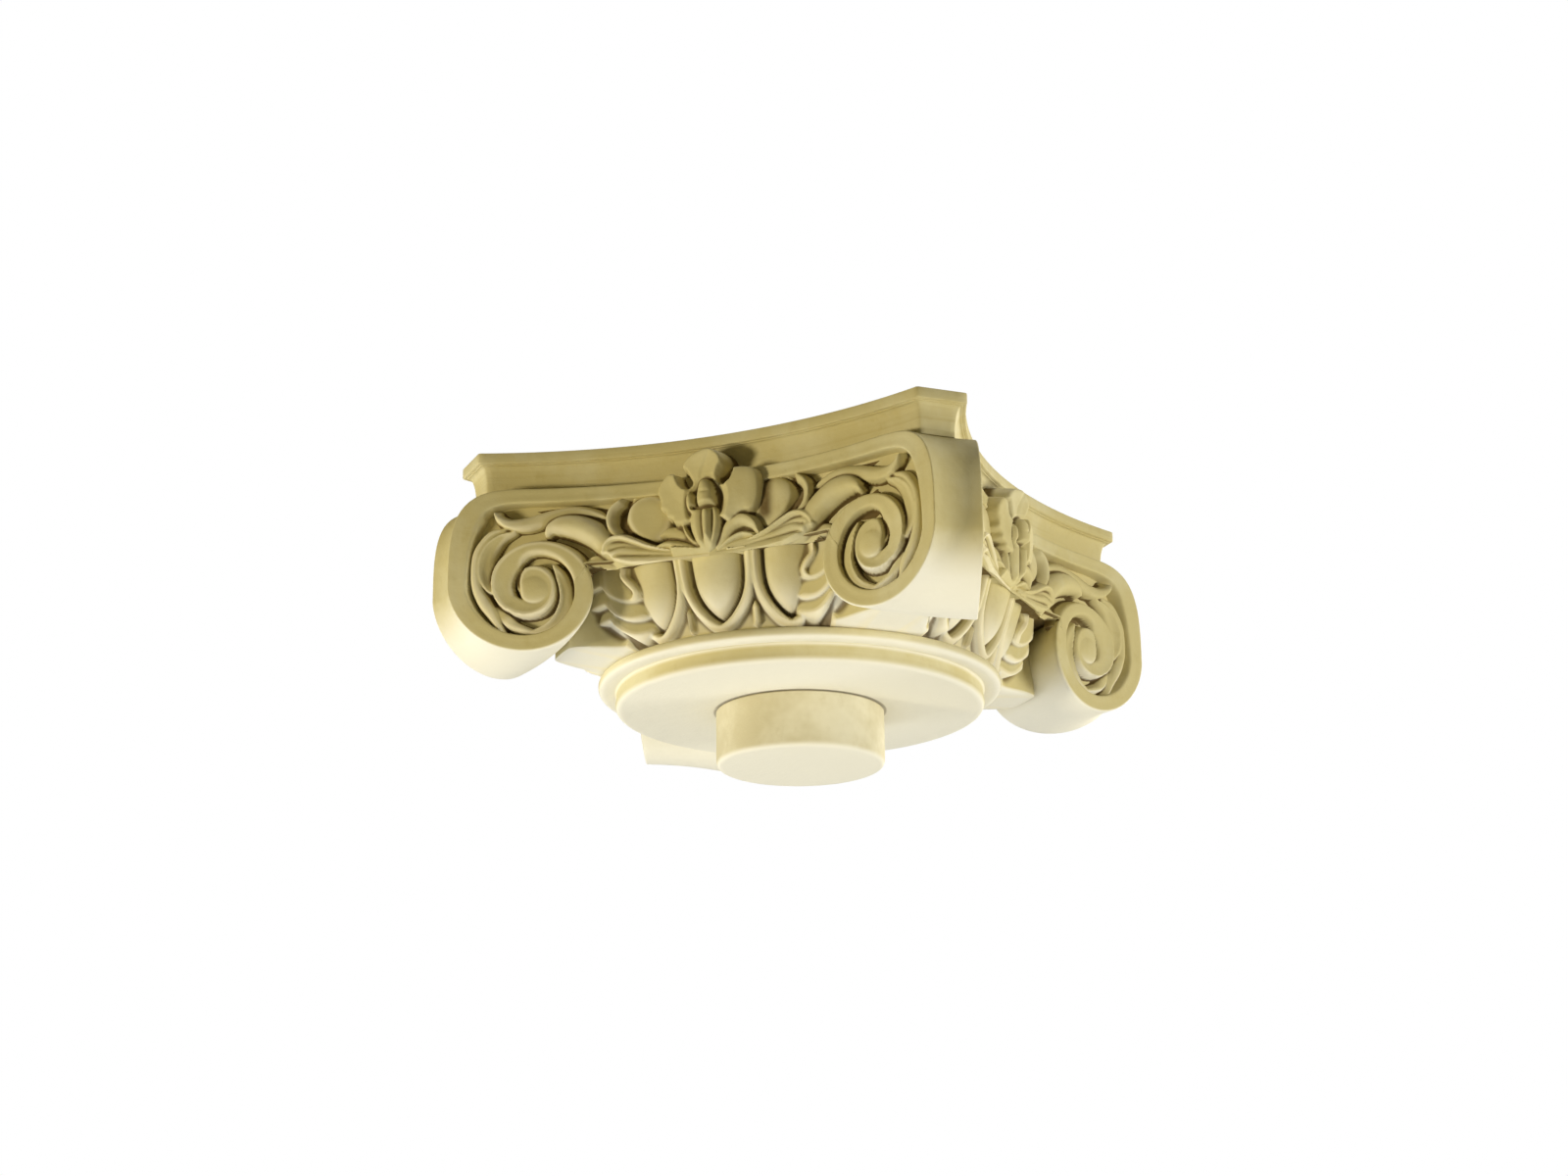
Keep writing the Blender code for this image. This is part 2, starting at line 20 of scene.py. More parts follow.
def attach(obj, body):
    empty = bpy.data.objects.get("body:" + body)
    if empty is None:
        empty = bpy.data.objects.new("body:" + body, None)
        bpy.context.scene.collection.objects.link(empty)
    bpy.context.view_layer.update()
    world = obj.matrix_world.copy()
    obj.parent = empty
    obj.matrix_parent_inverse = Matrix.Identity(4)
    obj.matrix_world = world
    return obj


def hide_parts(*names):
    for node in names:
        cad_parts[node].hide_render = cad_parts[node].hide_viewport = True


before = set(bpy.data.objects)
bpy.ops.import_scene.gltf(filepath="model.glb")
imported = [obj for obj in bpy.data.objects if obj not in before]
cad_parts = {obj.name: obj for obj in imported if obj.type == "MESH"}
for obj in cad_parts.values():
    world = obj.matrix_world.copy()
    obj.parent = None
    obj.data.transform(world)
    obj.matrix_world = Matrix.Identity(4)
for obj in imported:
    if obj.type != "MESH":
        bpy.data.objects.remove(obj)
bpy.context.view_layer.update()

log = logging.getLogger("capital")

MM = 0.001
Spot = tuple[float, float]
Station = tuple[float, ...]
Colour = tuple[float, float, float]
NOWHERE = -50.0  # a height that raises nothing


class Node(Enum):
    """Solids of the frame that the finished pieces stand for."""

    CAPITAL = "capital"
    SPIGOT = "locating_spigot"


class Side(Enum):
    """The two halves of a face, right and left of its flower."""

    RIGHT = 1
    LEFT = -1


# Measuring and modelling helpers


def smooth_line(points: Sequence[Station], step: float) -> np.ndarray:
    """Runs a smooth line through the points.

    Args:
        points: Points with one or more further values each, such as widths.
        step: About how far apart the new points lie, in the points' own unit.

    Returns:
        One row for every new point, with the further values carried along.
    """
    given = np.array(points, float)
    padded = np.vstack([2 * given[0] - given[1], given, 2 * given[-1] - given[-2]])
    rows = []
    for i in range(len(given) - 1):
        before, start, end, after = padded[i:i + 4]
        count = max(1, round(float(np.hypot(*(end - start)[:2])) / step))
        for t in np.arange(count) / count:
            rows.append(0.5 * (2 * start + (end - before) * t
                               + (2 * before - 5 * start + 4 * end - after) * t * t
                               + (3 * start - before - 3 * end + after) * t ** 3))
    rows.append(given[-1])
    return np.array(rows)


def blurred(heights: np.ndarray, reach: float) -> np.ndarray:
    """Softens a sheet of heights.

    Args:
        heights: The sheet, one value a cell.
        reach: How far a cell spreads, in cells.

    Returns:
        The softened sheet, of the same shape.
    """
    half = max(1, math.ceil(reach * 3))
    weights = np.exp(-0.5 * (np.arange(-half, half + 1) / reach) ** 2)
    weights /= weights.sum()
    sheet = np.pad(heights, half, mode="edge")
    sheet = np.apply_along_axis(np.convolve, 0, sheet, weights, "valid")
    return np.apply_along_axis(np.convolve, 1, sheet, weights, "valid")


def deselect_all() -> None:
    """Leaves nothing selected and no mesh in edit mode."""
    if bpy.context.object and bpy.context.object.mode != "OBJECT":
        bpy.ops.object.mode_set(mode="OBJECT")
    bpy.ops.object.select_all(action="DESELECT")


def pick(piece: Object) -> None:
    """Selects one piece alone and makes it active."""
    deselect_all()
    piece.select_set(True)
    bpy.context.view_layer.objects.active = piece


def edit(piece: Object, action: str = "SELECT") -> None:
    """Opens one piece alone in edit mode, with all or none of it selected."""
    pick(piece)
    bpy.ops.object.mode_set(mode="EDIT")
    bpy.ops.mesh.select_all(action=action)


def rename(piece: Object, name: str) -> Object:
    """Names a piece and its mesh alike."""
    piece.name = name
    piece.data.name = name
    return piece


def move_points(piece: Object, places: np.ndarray) -> None:
    """Moves the points of a mesh in object mode, a row of coordinates for each."""
    piece.data.vertices.foreach_set("co", np.ascontiguousarray(places, np.float32).ravel())
    piece.data.update()


def points_of(piece: Object) -> np.ndarray:
    """Reads a mesh's points, one row each."""
    flat = np.empty(len(piece.data.vertices) * 3, np.float32)
    piece.data.vertices.foreach_get("co", flat)
    return flat.reshape(-1, 3).astype(float)


def set_values(piece: Object, name: str, values: np.ndarray) -> None:
    """Keeps a value for every point, such as how sunk it lies, for the finish to read."""
    kept = piece.data.attributes
    layer = kept.get(name) or kept.new(name, "FLOAT", "POINT")
    layer.data.foreach_set("value", np.ascontiguousarray(values, np.float32).ravel())


def values_of(piece: Object, name: str) -> np.ndarray:
    """Reads a value that is kept for every point."""
    values = np.empty(len(piece.data.vertices), np.float32)
    piece.data.attributes[name].data.foreach_get("value", values)
    return values.astype(float)


def normals_of(piece: Object) -> np.ndarray:
    """Reads the directions in which a mesh's points face, one row each."""
    flat = np.empty(len(piece.data.vertices) * 3, np.float32)
    piece.data.vertex_normals.foreach_get("vector", flat)
    return flat.reshape(-1, 3).astype(float)


def outward(piece: Object, angle: float = 60.0) -> None:
    """Turns the faces of a closed mesh outwards and shades it smooth below an angle."""
    edit(piece)
    bpy.ops.mesh.normals_make_consistent(inside=False)
    bpy.ops.object.mode_set(mode="OBJECT")
    bpy.ops.object.shade_smooth_by_angle(angle=math.radians(angle))


def trim_to(sheet: Object, keep: np.ndarray) -> None:
    """Deletes the faces of a flat sheet that have a point which isn't kept.

    Args:
        sheet: The sheet, in object mode.
        keep: True for every point that stays.
    """
    edit(sheet, "DESELECT")
    shape = bmesh.from_edit_mesh(sheet.data)
    for face in shape.faces:
        face.select = not all(keep[vert.index] for vert in face.verts)
    bmesh.update_edit_mesh(sheet.data)
    bpy.ops.mesh.delete(type="FACE")
    bpy.ops.object.mode_set(mode="OBJECT")


def close_behind(sheet: Object, level: float) -> None:
    """Extrudes the rim of a sheet back to a level of Y and fills it, which closes it."""
    edit(sheet, "DESELECT")
    bpy.ops.mesh.select_mode(type="EDGE")
    shape = bmesh.from_edit_mesh(sheet.data)
    for edge in shape.edges:
        edge.select = edge.is_boundary
    bmesh.update_edit_mesh(sheet.data)
    bpy.ops.mesh.extrude_region_move()
    shape = bmesh.from_edit_mesh(sheet.data)
    for vert in shape.verts:
        if vert.select:
            vert.co.y = level
    bpy.ops.mesh.edge_face_add()
    bpy.ops.mesh.select_mode(type="VERT")
    bpy.ops.object.mode_set(mode="OBJECT")


def swept_rings(name: str, rings: Sequence[np.ndarray]) -> Object:
    """Models a closed piece ring by ring: a filled circle is extruded and set each time.

    Args:
        name: The piece's name.
        rings: Rings of as many points each, every one an array of rows.

    Returns:
        The closed piece, its two ends filled.
    """
    deselect_all()
    bpy.ops.mesh.primitive_circle_add(vertices=len(rings[0]), radius=1.0, fill_type="NGON")
    piece = rename(bpy.context.object, name)
    edit(piece)
    shape = bmesh.from_edit_mesh(piece.data)
    for vert, spot in zip(shape.verts, rings[0]):
        vert.co = spot
    for before, ring in zip(rings, rings[1:]):
        bpy.ops.mesh.extrude_region_move()
        shape = bmesh.from_edit_mesh(piece.data)
        known = {tuple(np.round(point, 6)): i for i, point in enumerate(
            np.array(before, np.float32).astype(float))}
        for vert in shape.verts:
            if vert.select:
                vert.co = ring[known[tuple(np.round(np.array(vert.co), 6))]]
    bpy.ops.object.mode_set(mode="OBJECT")
    return piece


def turned(name: str, profile: Sequence[Spot], steps: int) -> Object:
    """Spins a profile round the Z axis.

    Args:
        name: The piece's name.
        profile: Its points as radius and height, from axis to axis.
        steps: Faces round the turn.

    Returns:
        The closed, turned piece.
    """
    deselect_all()
    bpy.ops.mesh.primitive_plane_add(size=0.001, location=(0, 0, 0))
    piece = rename(bpy.context.object, name)
    edit(piece)
    bpy.ops.mesh.merge(type="CENTER")
    start = Vector((profile[0][0], 0, profile[0][1]))
    bpy.ops.transform.translate(value=start)
    for before, after in zip(profile, profile[1:]):
        step = (after[0] - before[0], 0, after[1] - before[1])
        bpy.ops.mesh.extrude_region_move(TRANSFORM_OT_translate={"value": step})
    bpy.ops.mesh.select_all(action="SELECT")
    bpy.ops.mesh.spin(steps=steps, angle=math.tau, center=(0, 0, 0), axis=(0, 0, 1))
    bpy.ops.mesh.select_all(action="SELECT")
    bpy.ops.mesh.remove_doubles(threshold=1e-6)
    bpy.ops.object.mode_set(mode="OBJECT")
    return piece


def round_corner(start: Spot, corner: Spot, end: Spot, count: int = 5) -> list[Spot]:
    """Rounds a corner of a profile with a curve from one point to another."""
    spots = []
    for i in range(count + 1):
        t = i / count
        a, b, c = (1 - t) ** 2, 2 * t * (1 - t), t * t
        spots.append((a * start[0] + b * corner[0] + c * end[0],
                      a * start[1] + b * corner[1] + c * end[1]))
    return spots


def direction(start: np.ndarray, end: np.ndarray) -> np.ndarray:
    """Gives the direction from one place of the plan to another."""
    return (end - start) / np.hypot(*(end - start))


def across_diagonal(rows: np.ndarray) -> np.ndarray:
    """Mirrors places at the front face onto the right face."""
    return np.stack([-rows[:, 1], -rows[:, 0], rows[:, 2]], 1)


def copy_round(piece: Object, names: Iterable[str]) -> list[Object]:
    """Copies a piece to the other quarters of the capital, each with its own mesh.

    Args:
        piece: The first piece, at the front.
        names: The names of all, the first piece's own among them.

    Returns:
        The pieces in the order of their names, a quarter turn apart.
    """
    made = []
    for quarter, name in enumerate(names):
        if quarter == 0:
            made.append(rename(piece, name))
            continue
        pick(piece)
        bpy.ops.object.duplicate()
        twin = rename(bpy.context.object, name)
        twin.data.transform(Matrix.Rotation(quarter * math.pi / 2, 4, "Z"))
        made.append(twin)
    return made


def join(pieces: Sequence[Object], name: str) -> Object:
    """Joins pieces into the first of them."""
    pick(pieces[0])
    for piece in pieces:
        piece.select_set(True)
    bpy.ops.object.join()
    return rename(bpy.context.object, name)


class Relief:
    """Carving as heights over a grid, in millimetres, built up shape by shape."""

    def __init__(self, window: Station, step: float, ground: float) -> None:
        """Lays the grid.

        Args:
            window: First and last place across, lowest and highest level.
            step: Spacing of the grid.
            ground: Height of the sunk ground.
        """
        left, right, low, high = window
        self.step = step
        across = np.arange(round((right - left) / step) + 1) * step + left
        up = np.arange(round((high - low) / step) + 1) * step + low
        self.across, self.up = np.meshgrid(across, up)
        self.height = np.full(self.across.shape, float(ground))

    def along(self, line: np.ndarray) -> tuple[np.ndarray, np.ndarray, list[np.ndarray]]:
        """Finds where each grid point lies beside a line.

        Args:
            line: Rows of points, with further values each.

        Returns:
            Distance from the line, its sign on the line's left, and a sheet of each
            further value at the nearest place.
        """
        spot = np.stack([self.across.ravel(), self.up.ravel()], 1)
        best = np.full(len(spot), 1e9)
        sign = np.ones(len(spot))
        carried = np.zeros((len(spot), line.shape[1] - 2))
        for start, end in zip(line, line[1:]):
            run = end[:2] - start[:2]
            away = spot - start[:2]
            share = np.clip(away @ run / max(run @ run, 1e-12), 0, 1)
            gap = away - share[:, None] * run
            far = np.hypot(gap[:, 0], gap[:, 1])
            near = far < best
            best[near] = far[near]
            turn = run[0] * away[near, 1] - run[1] * away[near, 0]
            sign[near] = np.where(turn >= 0, 1.0, -1.0)
            carried[near] = start[2:] + share[near, None] * (end - start)[2:]
        shape = self.height.shape
        parts = [part.reshape(shape) for part in carried.T]
        return best.reshape(shape), sign.reshape(shape), parts

    def raise_to(self, body: np.ndarray, where: np.ndarray | bool = True) -> None:
        """Raises the carving to a body's heights, in some places or everywhere."""
        self.height = np.maximum(self.height, np.where(where, body, NOWHERE))

    def leaf(self, stations: Sequence[Station], ridge: float = 0.0, round_off: float = 2.0,
             fall: float = 3.5, smooth: float = 1.5) -> None:
        """Raises a leaf or band along a line.

        Args:
            stations: Across, up, half width, height at the left edge, at the ridge and
                at the right edge, for places along its middle.
            ridge: Where the ridge runs, from -1 at the right edge to 1 at the left.
            round_off: Power of the curve between ridge and edges; 1 is a roof.
            fall: Steepness of the sides beyond the edges.
            smooth: Spacing of the smoothed line.
        """
        line = smooth_line(stations, smooth)
        line[:, 2] = np.maximum(line[:, 2], 0.3)
        far, sign, (half, left, top, right) = self.along(line)
        x = sign * far / half
        t_left = np.clip((x - ridge) / (1 - ridge), 0, 1) ** round_off
        t_right = np.clip((ridge - x) / (1 + ridge), 0, 1) ** round_off
        body = np.where(x >= ridge, top + (left - top) * t_left, top + (right - top) * t_right)
        self.raise_to(body - np.maximum(far - half, 0) * fall)

    def groove(self, stations: Sequence[Station], slope: float = 3.0) -> None:
        """Cuts a groove.

        Args:
            stations: Across, up and depth of its bottom, for places along it.
            slope: Steepness of its sides.
        """
        far, _, (bottom,) = self.along(smooth_line(stations, 1.5))
        self.height = np.minimum(self.height, bottom + np.maximum(far - 0.5, 0) * slope)

    def boss(self, across: float, up: float, half_across: float, half_up: float,
             edge: float, top: float, power: float = 2.0, fall: float = 3.0) -> None:
        """Raises a rounded boss from its edge height to its top."""
        far = np.hypot((self.across - across) / half_across, (self.up - up) / half_up)
        body = edge + (top - edge) * (1 - np.clip(far, 0, 1) ** power)
        beyond = np.maximum(far - 1, 0) * min(half_across, half_up)
        self.raise_to(body - beyond * fall)

    def slab(self, outline: Sequence[Spot], centre: Spot, top: float,
             tilt: Spot = (0.0, 0.0), dish: float = 0.0, edge: float = 1.5,
             drop: float = 2.2, fall: float = 7.0) -> None:
        """Raises a thick petal with steep sides.

        Args:
            outline: Its outline, run round anticlockwise.
            centre: The place where its face has the given top.
            top: Height of its face there.
            tilt: Rise of its face for each millimetre across and up.
            dish: Depth of the dish towards its middle.
            edge: Reach of its rounded rim.
            drop: How far the rim drops.
            fall: Steepness of its sides.
        """
        far, sign, _ = self.along(smooth_line([*outline, outline[0]], 1.2))
        inside = np.where(sign > 0, far, 0.0)
        outside = np.where(sign > 0, 0.0, far)
        face = (top + tilt[0] * (self.across - centre[0]) + tilt[1] * (self.up - centre[1])
                - dish * (1 - np.exp(-inside / 5.0)) - drop * np.exp(-inside / edge))
        self.raise_to(face - outside * fall)

    def soften(self, reach: float) -> None:
        """Softens every edge, as casting does, over a reach in millimetres."""
        self.height = blurred(self.height, reach / self.step)

    def hollow(self) -> np.ndarray:
        """Measures how sunk each place lies: 1 in crevices, 0 on open faces, -1 on crests."""
        near = np.clip((blurred(self.height, 2.4 / self.step) - self.height) / 1.8, -1, 1)
        wide = np.clip((blurred(self.height, 8.0 / self.step) - self.height - 2.5) / 5.0, 0, 1)
        return np.clip(near + wide, -1, 1)

    def sheet(self, name: str, window: Station, cell: float) -> Object:
        """Models a window of the carving as a flat sheet pushed out to its heights.

        Args:
            name: The sheet's name.
            window: First and last place across, lowest and highest level.
            cell: About how wide the sheet's faces are.

        Returns:
            The sheet, with the places across, the heights and the levels as X, Y and Z.
        """
        left, right, low, high = window
        deselect_all()
        bpy.ops.mesh.primitive_grid_add(x_subdivisions=round((right - left) / cell),
                                        y_subdivisions=round((high - low) / cell), size=2.0)
        sheet = rename(bpy.context.object, name)
        share = (points_of(sheet) + 1) / 2
        across = left + share[:, 0] * (right - left)
        up = low + share[:, 1] * (high - low)
        move_points(sheet, np.stack([across, self.read(self.height, across, up), up], 1))
        set_values(sheet, "hollow", self.read(self.hollow(), across, up))
        return sheet

    def read(self, sheet: np.ndarray, across: np.ndarray, up: np.ndarray) -> np.ndarray:
        """Reads a sheet of the grid's shape at any places, between its cells too."""
        x = np.clip((across - self.across[0, 0]) / self.step, 0, sheet.shape[1] - 1.001)
        y = np.clip((up - self.up[0, 0]) / self.step, 0, sheet.shape[0] - 1.001)
        i, j = x.astype(int), y.astype(int)
        fx, fy = x - i, y - j
        return ((sheet[j, i] * (1 - fx) + sheet[j, i + 1] * fx) * (1 - fy)
                + (sheet[j + 1, i] * (1 - fx) + sheet[j + 1, i + 1] * fx) * fy)


# Finishes


class Nodes:
    """One material and the nodes that are added to it."""

    def __init__(self, name: str) -> None:
        """Starts the material with its shader and its Object coordinates."""
        self.material = bpy.data.materials.new(name)
        self.material.use_nodes = True
        self.tree = self.material.node_tree
        self.shader = self.tree.nodes["Principled BSDF"]
        self.place = self.add("ShaderNodeTexCoord", {}).outputs["Object"]

    def feed(self, socket: Socket, source: Socket | Station | float) -> None:
        """Links a socket to another one, or sets it where the source is a value."""
        if isinstance(source, Socket):
            self.tree.links.new(source, socket)
        elif socket.type == "RGBA":
            socket.default_value = (*source, 1.0)
        else:
            socket.default_value = source

    def add(self, kind: str, feeds: dict[str | int, Socket | Station | float],
            **settings: str) -> bpy.types.Node:
        """Adds a node.

        Args:
            kind: The node's type.
            feeds: What goes into its inputs, by their names or numbers.
            settings: The node's own settings.

        Returns:
            The node.
        """
        node = self.tree.nodes.new(kind)
        for name, setting in settings.items():
            setattr(node, name, setting)
        for key, source in feeds.items():
            self.feed(node.inputs[key], source)
        return node

    def noise(self, place: Socket, scale: float, detail: float, roughness: float) -> Socket:
        """Adds a noise on the given coordinates."""
        return self.add("ShaderNodeTexNoise", {"Vector": place, "Scale": scale, "Detail": detail,
                                               "Roughness": roughness}).outputs["Fac"]

    def value(self, name: str) -> Socket:
        """Reads one of the pieces' own values."""
        return self.add("ShaderNodeAttribute", {}, attribute_name=name).outputs["Fac"]

    def spread(self, value: Socket, low: float, high: float, most: float = 1.0,
               least: float = 0.0) -> Socket:
        """Stretches a value between two limits to run from least to least plus most."""
        return self.add("ShaderNodeMapRange", {
            "Value": value, "From Min": low, "From Max": high, "To Min": least,
            "To Max": least + most}, interpolation_type="SMOOTHSTEP").outputs["Result"]

    def product(self, first: Socket, second: Socket) -> Socket:
        """Multiplies two values."""
        return self.add("ShaderNodeMath", {0: first, 1: second},
                        operation="MULTIPLY").outputs[0]

    def mix(self, share: Socket, first: Socket | Colour, second: Colour) -> Socket:
        """Mixes two colours by a share."""
        return self.add("ShaderNodeMix", {"Factor": share, 6: first, 7: second},
                        data_type="RGBA").outputs[2]

    def bump(self, height: Socket, strength: float, distance: float,
             under: Socket | None = None) -> Socket:
        """Adds a bump, over another where one is given."""
        feeds = {"Height": height, "Strength": strength, "Distance": distance}
        if under is not None:
            feeds["Normal"] = under
        return self.add("ShaderNodeBump", feeds).outputs["Normal"]


@dataclass(frozen=True)
class CastPlaster:
    """Matt cream plaster with warm stains, dirt and painted shade in the hollows, painted
    highlights on the crests, pale bare plaster with painted light on low undersides, and fine
    pitting.
    """

    name: str = "cast_plaster"
    slot: str = "cast_plaster"
    body: Colour = (0.630, 0.555, 0.290)
    pale: Colour = (0.695, 0.640, 0.405)
    stain: Colour = (0.500, 0.410, 0.160)
    dirt_and_shade: Colour = (0.110, 0.062, 0.010)
    crest_highlight: Colour = (0.900, 0.830, 0.610)
    bare_and_lit: Colour = (0.860, 0.835, 0.745)
    roughness: float = 0.62
    gloss: float = 0.35
    pit_depth: float = 0.00025
    mottle_scale: float = 14.0
    cloud_scale: float = 60.2
    grain_scale: float = 900.0
    pit_scale: float = 260.0
    streak_scale: Colour = (7.0, 7.0, 260.0)
    painted_light_below: float = 118.0
    painted_light_fade: float = 35.0

    def build(self) -> Material:
        """Makes the material's nodes.

        Returns:
            The material, patterned on Object coordinates and the pieces' own values.
        """
        nodes = Nodes(self.name)
        mottle = nodes.noise(nodes.place, self.mottle_scale, 4.0, 0.62)
        cloud = nodes.noise(nodes.place, self.cloud_scale, 5.0, 0.6)
        grain = nodes.noise(nodes.place, self.grain_scale, 3.0, 0.5)
        pits = nodes.noise(nodes.place, self.pit_scale, 3.0, 0.55)
        level = nodes.add("ShaderNodeVectorMath", {0: nodes.place, 1: self.streak_scale},
                          operation="MULTIPLY")
        streak = nodes.noise(level.outputs[0], 1.0, 3.0, 0.6)
        drawn = nodes.product(nodes.spread(streak, 0.46, 0.74), nodes.value("drawn"))
        sunk = nodes.value("hollow")
        # Painted shade, with some dirt: sunk places are darkened, patchily.
        soiled_and_shaded = nodes.product(nodes.spread(sunk, 0.10, 0.85, 0.92),
                               nodes.spread(cloud, 0.10, 0.50, 0.35, 0.65))
        colour = nodes.mix(nodes.spread(mottle, 0.42, 0.68), self.body, self.pale)
        colour = nodes.mix(nodes.spread(cloud, 0.55, 0.80, 0.45), colour, self.stain)
        colour = nodes.mix(drawn, colour, self.stain)
        # Pale bare plaster, and painted light on low faces that look down.
        colour = nodes.mix(nodes.value("bare_and_lit"), colour, self.bare_and_lit)
        # Painted highlight on the crests, with some edge wear: crests are painted paler.
        colour = nodes.mix(nodes.spread(sunk, -0.12, -0.60, 0.62), colour, self.crest_highlight)
        colour = nodes.mix(soiled_and_shaded, colour, self.dirt_and_shade)
        bump = nodes.bump(pits, 0.35, self.pit_depth)
        bump = nodes.bump(grain, 0.20, self.pit_depth * 0.5, bump)
        bump = nodes.bump(cloud, 0.55, self.pit_depth * 5.0, bump)
        bump = nodes.bump(drawn, 0.5, -self.pit_depth, bump)
        inputs = nodes.shader.inputs
        inputs["Specular IOR Level"].default_value = self.gloss
        nodes.feed(inputs["Base Color"], colour)
        nodes.feed(inputs["Roughness"], nodes.spread(pits, 0.3, 0.7, 0.22, self.roughness))
        nodes.feed(inputs["Normal"], bump)
        return nodes.material


def dress(piece: Object, finish: CastPlaster, material: Material,
          node: Node, bare_and_lit: float = 0.0, drawn: float = 0.05) -> None:
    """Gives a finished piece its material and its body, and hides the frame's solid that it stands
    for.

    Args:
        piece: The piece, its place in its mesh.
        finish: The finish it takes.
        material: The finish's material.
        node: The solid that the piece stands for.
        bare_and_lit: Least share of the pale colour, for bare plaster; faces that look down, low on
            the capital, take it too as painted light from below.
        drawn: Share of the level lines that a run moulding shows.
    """
    if "hollow" not in piece.data.attributes:
        set_values(piece, "hollow", np.zeros(len(piece.data.vertices)))
    # Painted light: faces that look down, low on the capital, are painted paler as if lit from
    # below.
    down = np.clip(-normals_of(piece)[:, 2] * 1.5 - 0.1, 0, 1)
    low = np.clip((finish.painted_light_below - points_of(piece)[:, 2] / MM) / finish.painted_light_fade, 0, 1)
    set_values(piece, "bare_and_lit", np.maximum(bare_and_lit, down * low))
    set_values(piece, "drawn", np.full(len(down), drawn))
    piece.data.materials.clear()
    piece.data.materials.append(material)
    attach(piece, "root")
    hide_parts(node.value)
    log.info("%s: %d points", piece.name, len(piece.data.vertices))


# Sub-assemblies


@dataclass(frozen=True)
class HollowFace:
    """The hollow plan on which every carved face lies."""

    middle: float = 165.4
    end: float = 206.8
    end_u: float = 172.5

    def depth(self, u: np.ndarray | float) -> np.ndarray | float:
        """Gives the face's distance from the axis plane, in millimetres."""
        return self.middle + (self.end - self.middle) / self.end_u ** 2 * u * u

    def place(self, u: np.ndarray, proud: np.ndarray, z: np.ndarray) -> np.ndarray:
        """Puts places along, in front of and up the front face into rows of metres."""
        return np.stack([u, -(self.depth(u) + proud), z], -1) * MM


@dataclass(frozen=True)
class VoluteLine:
    """Outline of the volute and of its band, as radii about the eye, in millimetres."""

    eye_u: float = 132.0
    eye_z: float = 103.0
    top: float = 181.0
    reach: float = 57.0
    squareness: float = 3.6
    band_top: float = 11.0
    band_side: float = 12.0
    outer: tuple[Spot, ...] = ((1, 57), (2, 46), (3, 42), (4, 37), (5, 27), (6, 18),
                               (7, 14.5), (8, 18.5), (8.5, 14.5), (9, 9.5), (9.4, 8.0))
    inner: tuple[Spot, ...] = ((1, 45), (2, 33.5), (3, 29), (4, 28.5), (4.5, 17), (5, 12),
                               (5.4, 9.8))

    def spot(self, radius: float, quarter: float) -> Spot:
        """Gives the point at so many quarter turns from the top, first outwards."""
        angle = math.pi / 2 * (1 - quarter)
        return (self.eye_u + radius * math.cos(angle), self.eye_z + radius * math.sin(angle))

    def corner(self, quarter: float, across: float, up: float) -> float:
        """Gives the radius on the squarish quarter above the volute's side."""
        angle = math.pi / 2 * (1 - quarter)
        return ((abs(math.cos(angle)) / across) ** self.squareness
                + (abs(math.sin(angle)) / up) ** self.squareness) ** (-1 / self.squareness)

    def radius(self, table: tuple[Spot, ...], quarter: float) -> float:
        """Reads a table of radii smoothly at a quarter."""
        line = smooth_line(table, 0.05)
        return float(np.interp(quarter, line[:, 0], line[:, 1]))

    def outer_spot(self, quarter: float) -> Spot:
        """Gives the point of the outer edge at a quarter."""
        if quarter < 1:
            return self.spot(self.corner(quarter, self.reach, self.top - self.eye_z), quarter)
        return self.spot(self.radius(self.outer, quarter), quarter)

    def inner_spot(self, quarter: float) -> Spot:
        """Gives the point of the inner edge at a quarter."""
        if quarter < 1:
            return self.spot(self.corner(quarter, self.reach - self.band_side,
                                         self.top - self.band_top - self.eye_z), quarter)
        return self.spot(self.radius(self.inner, quarter), quarter)


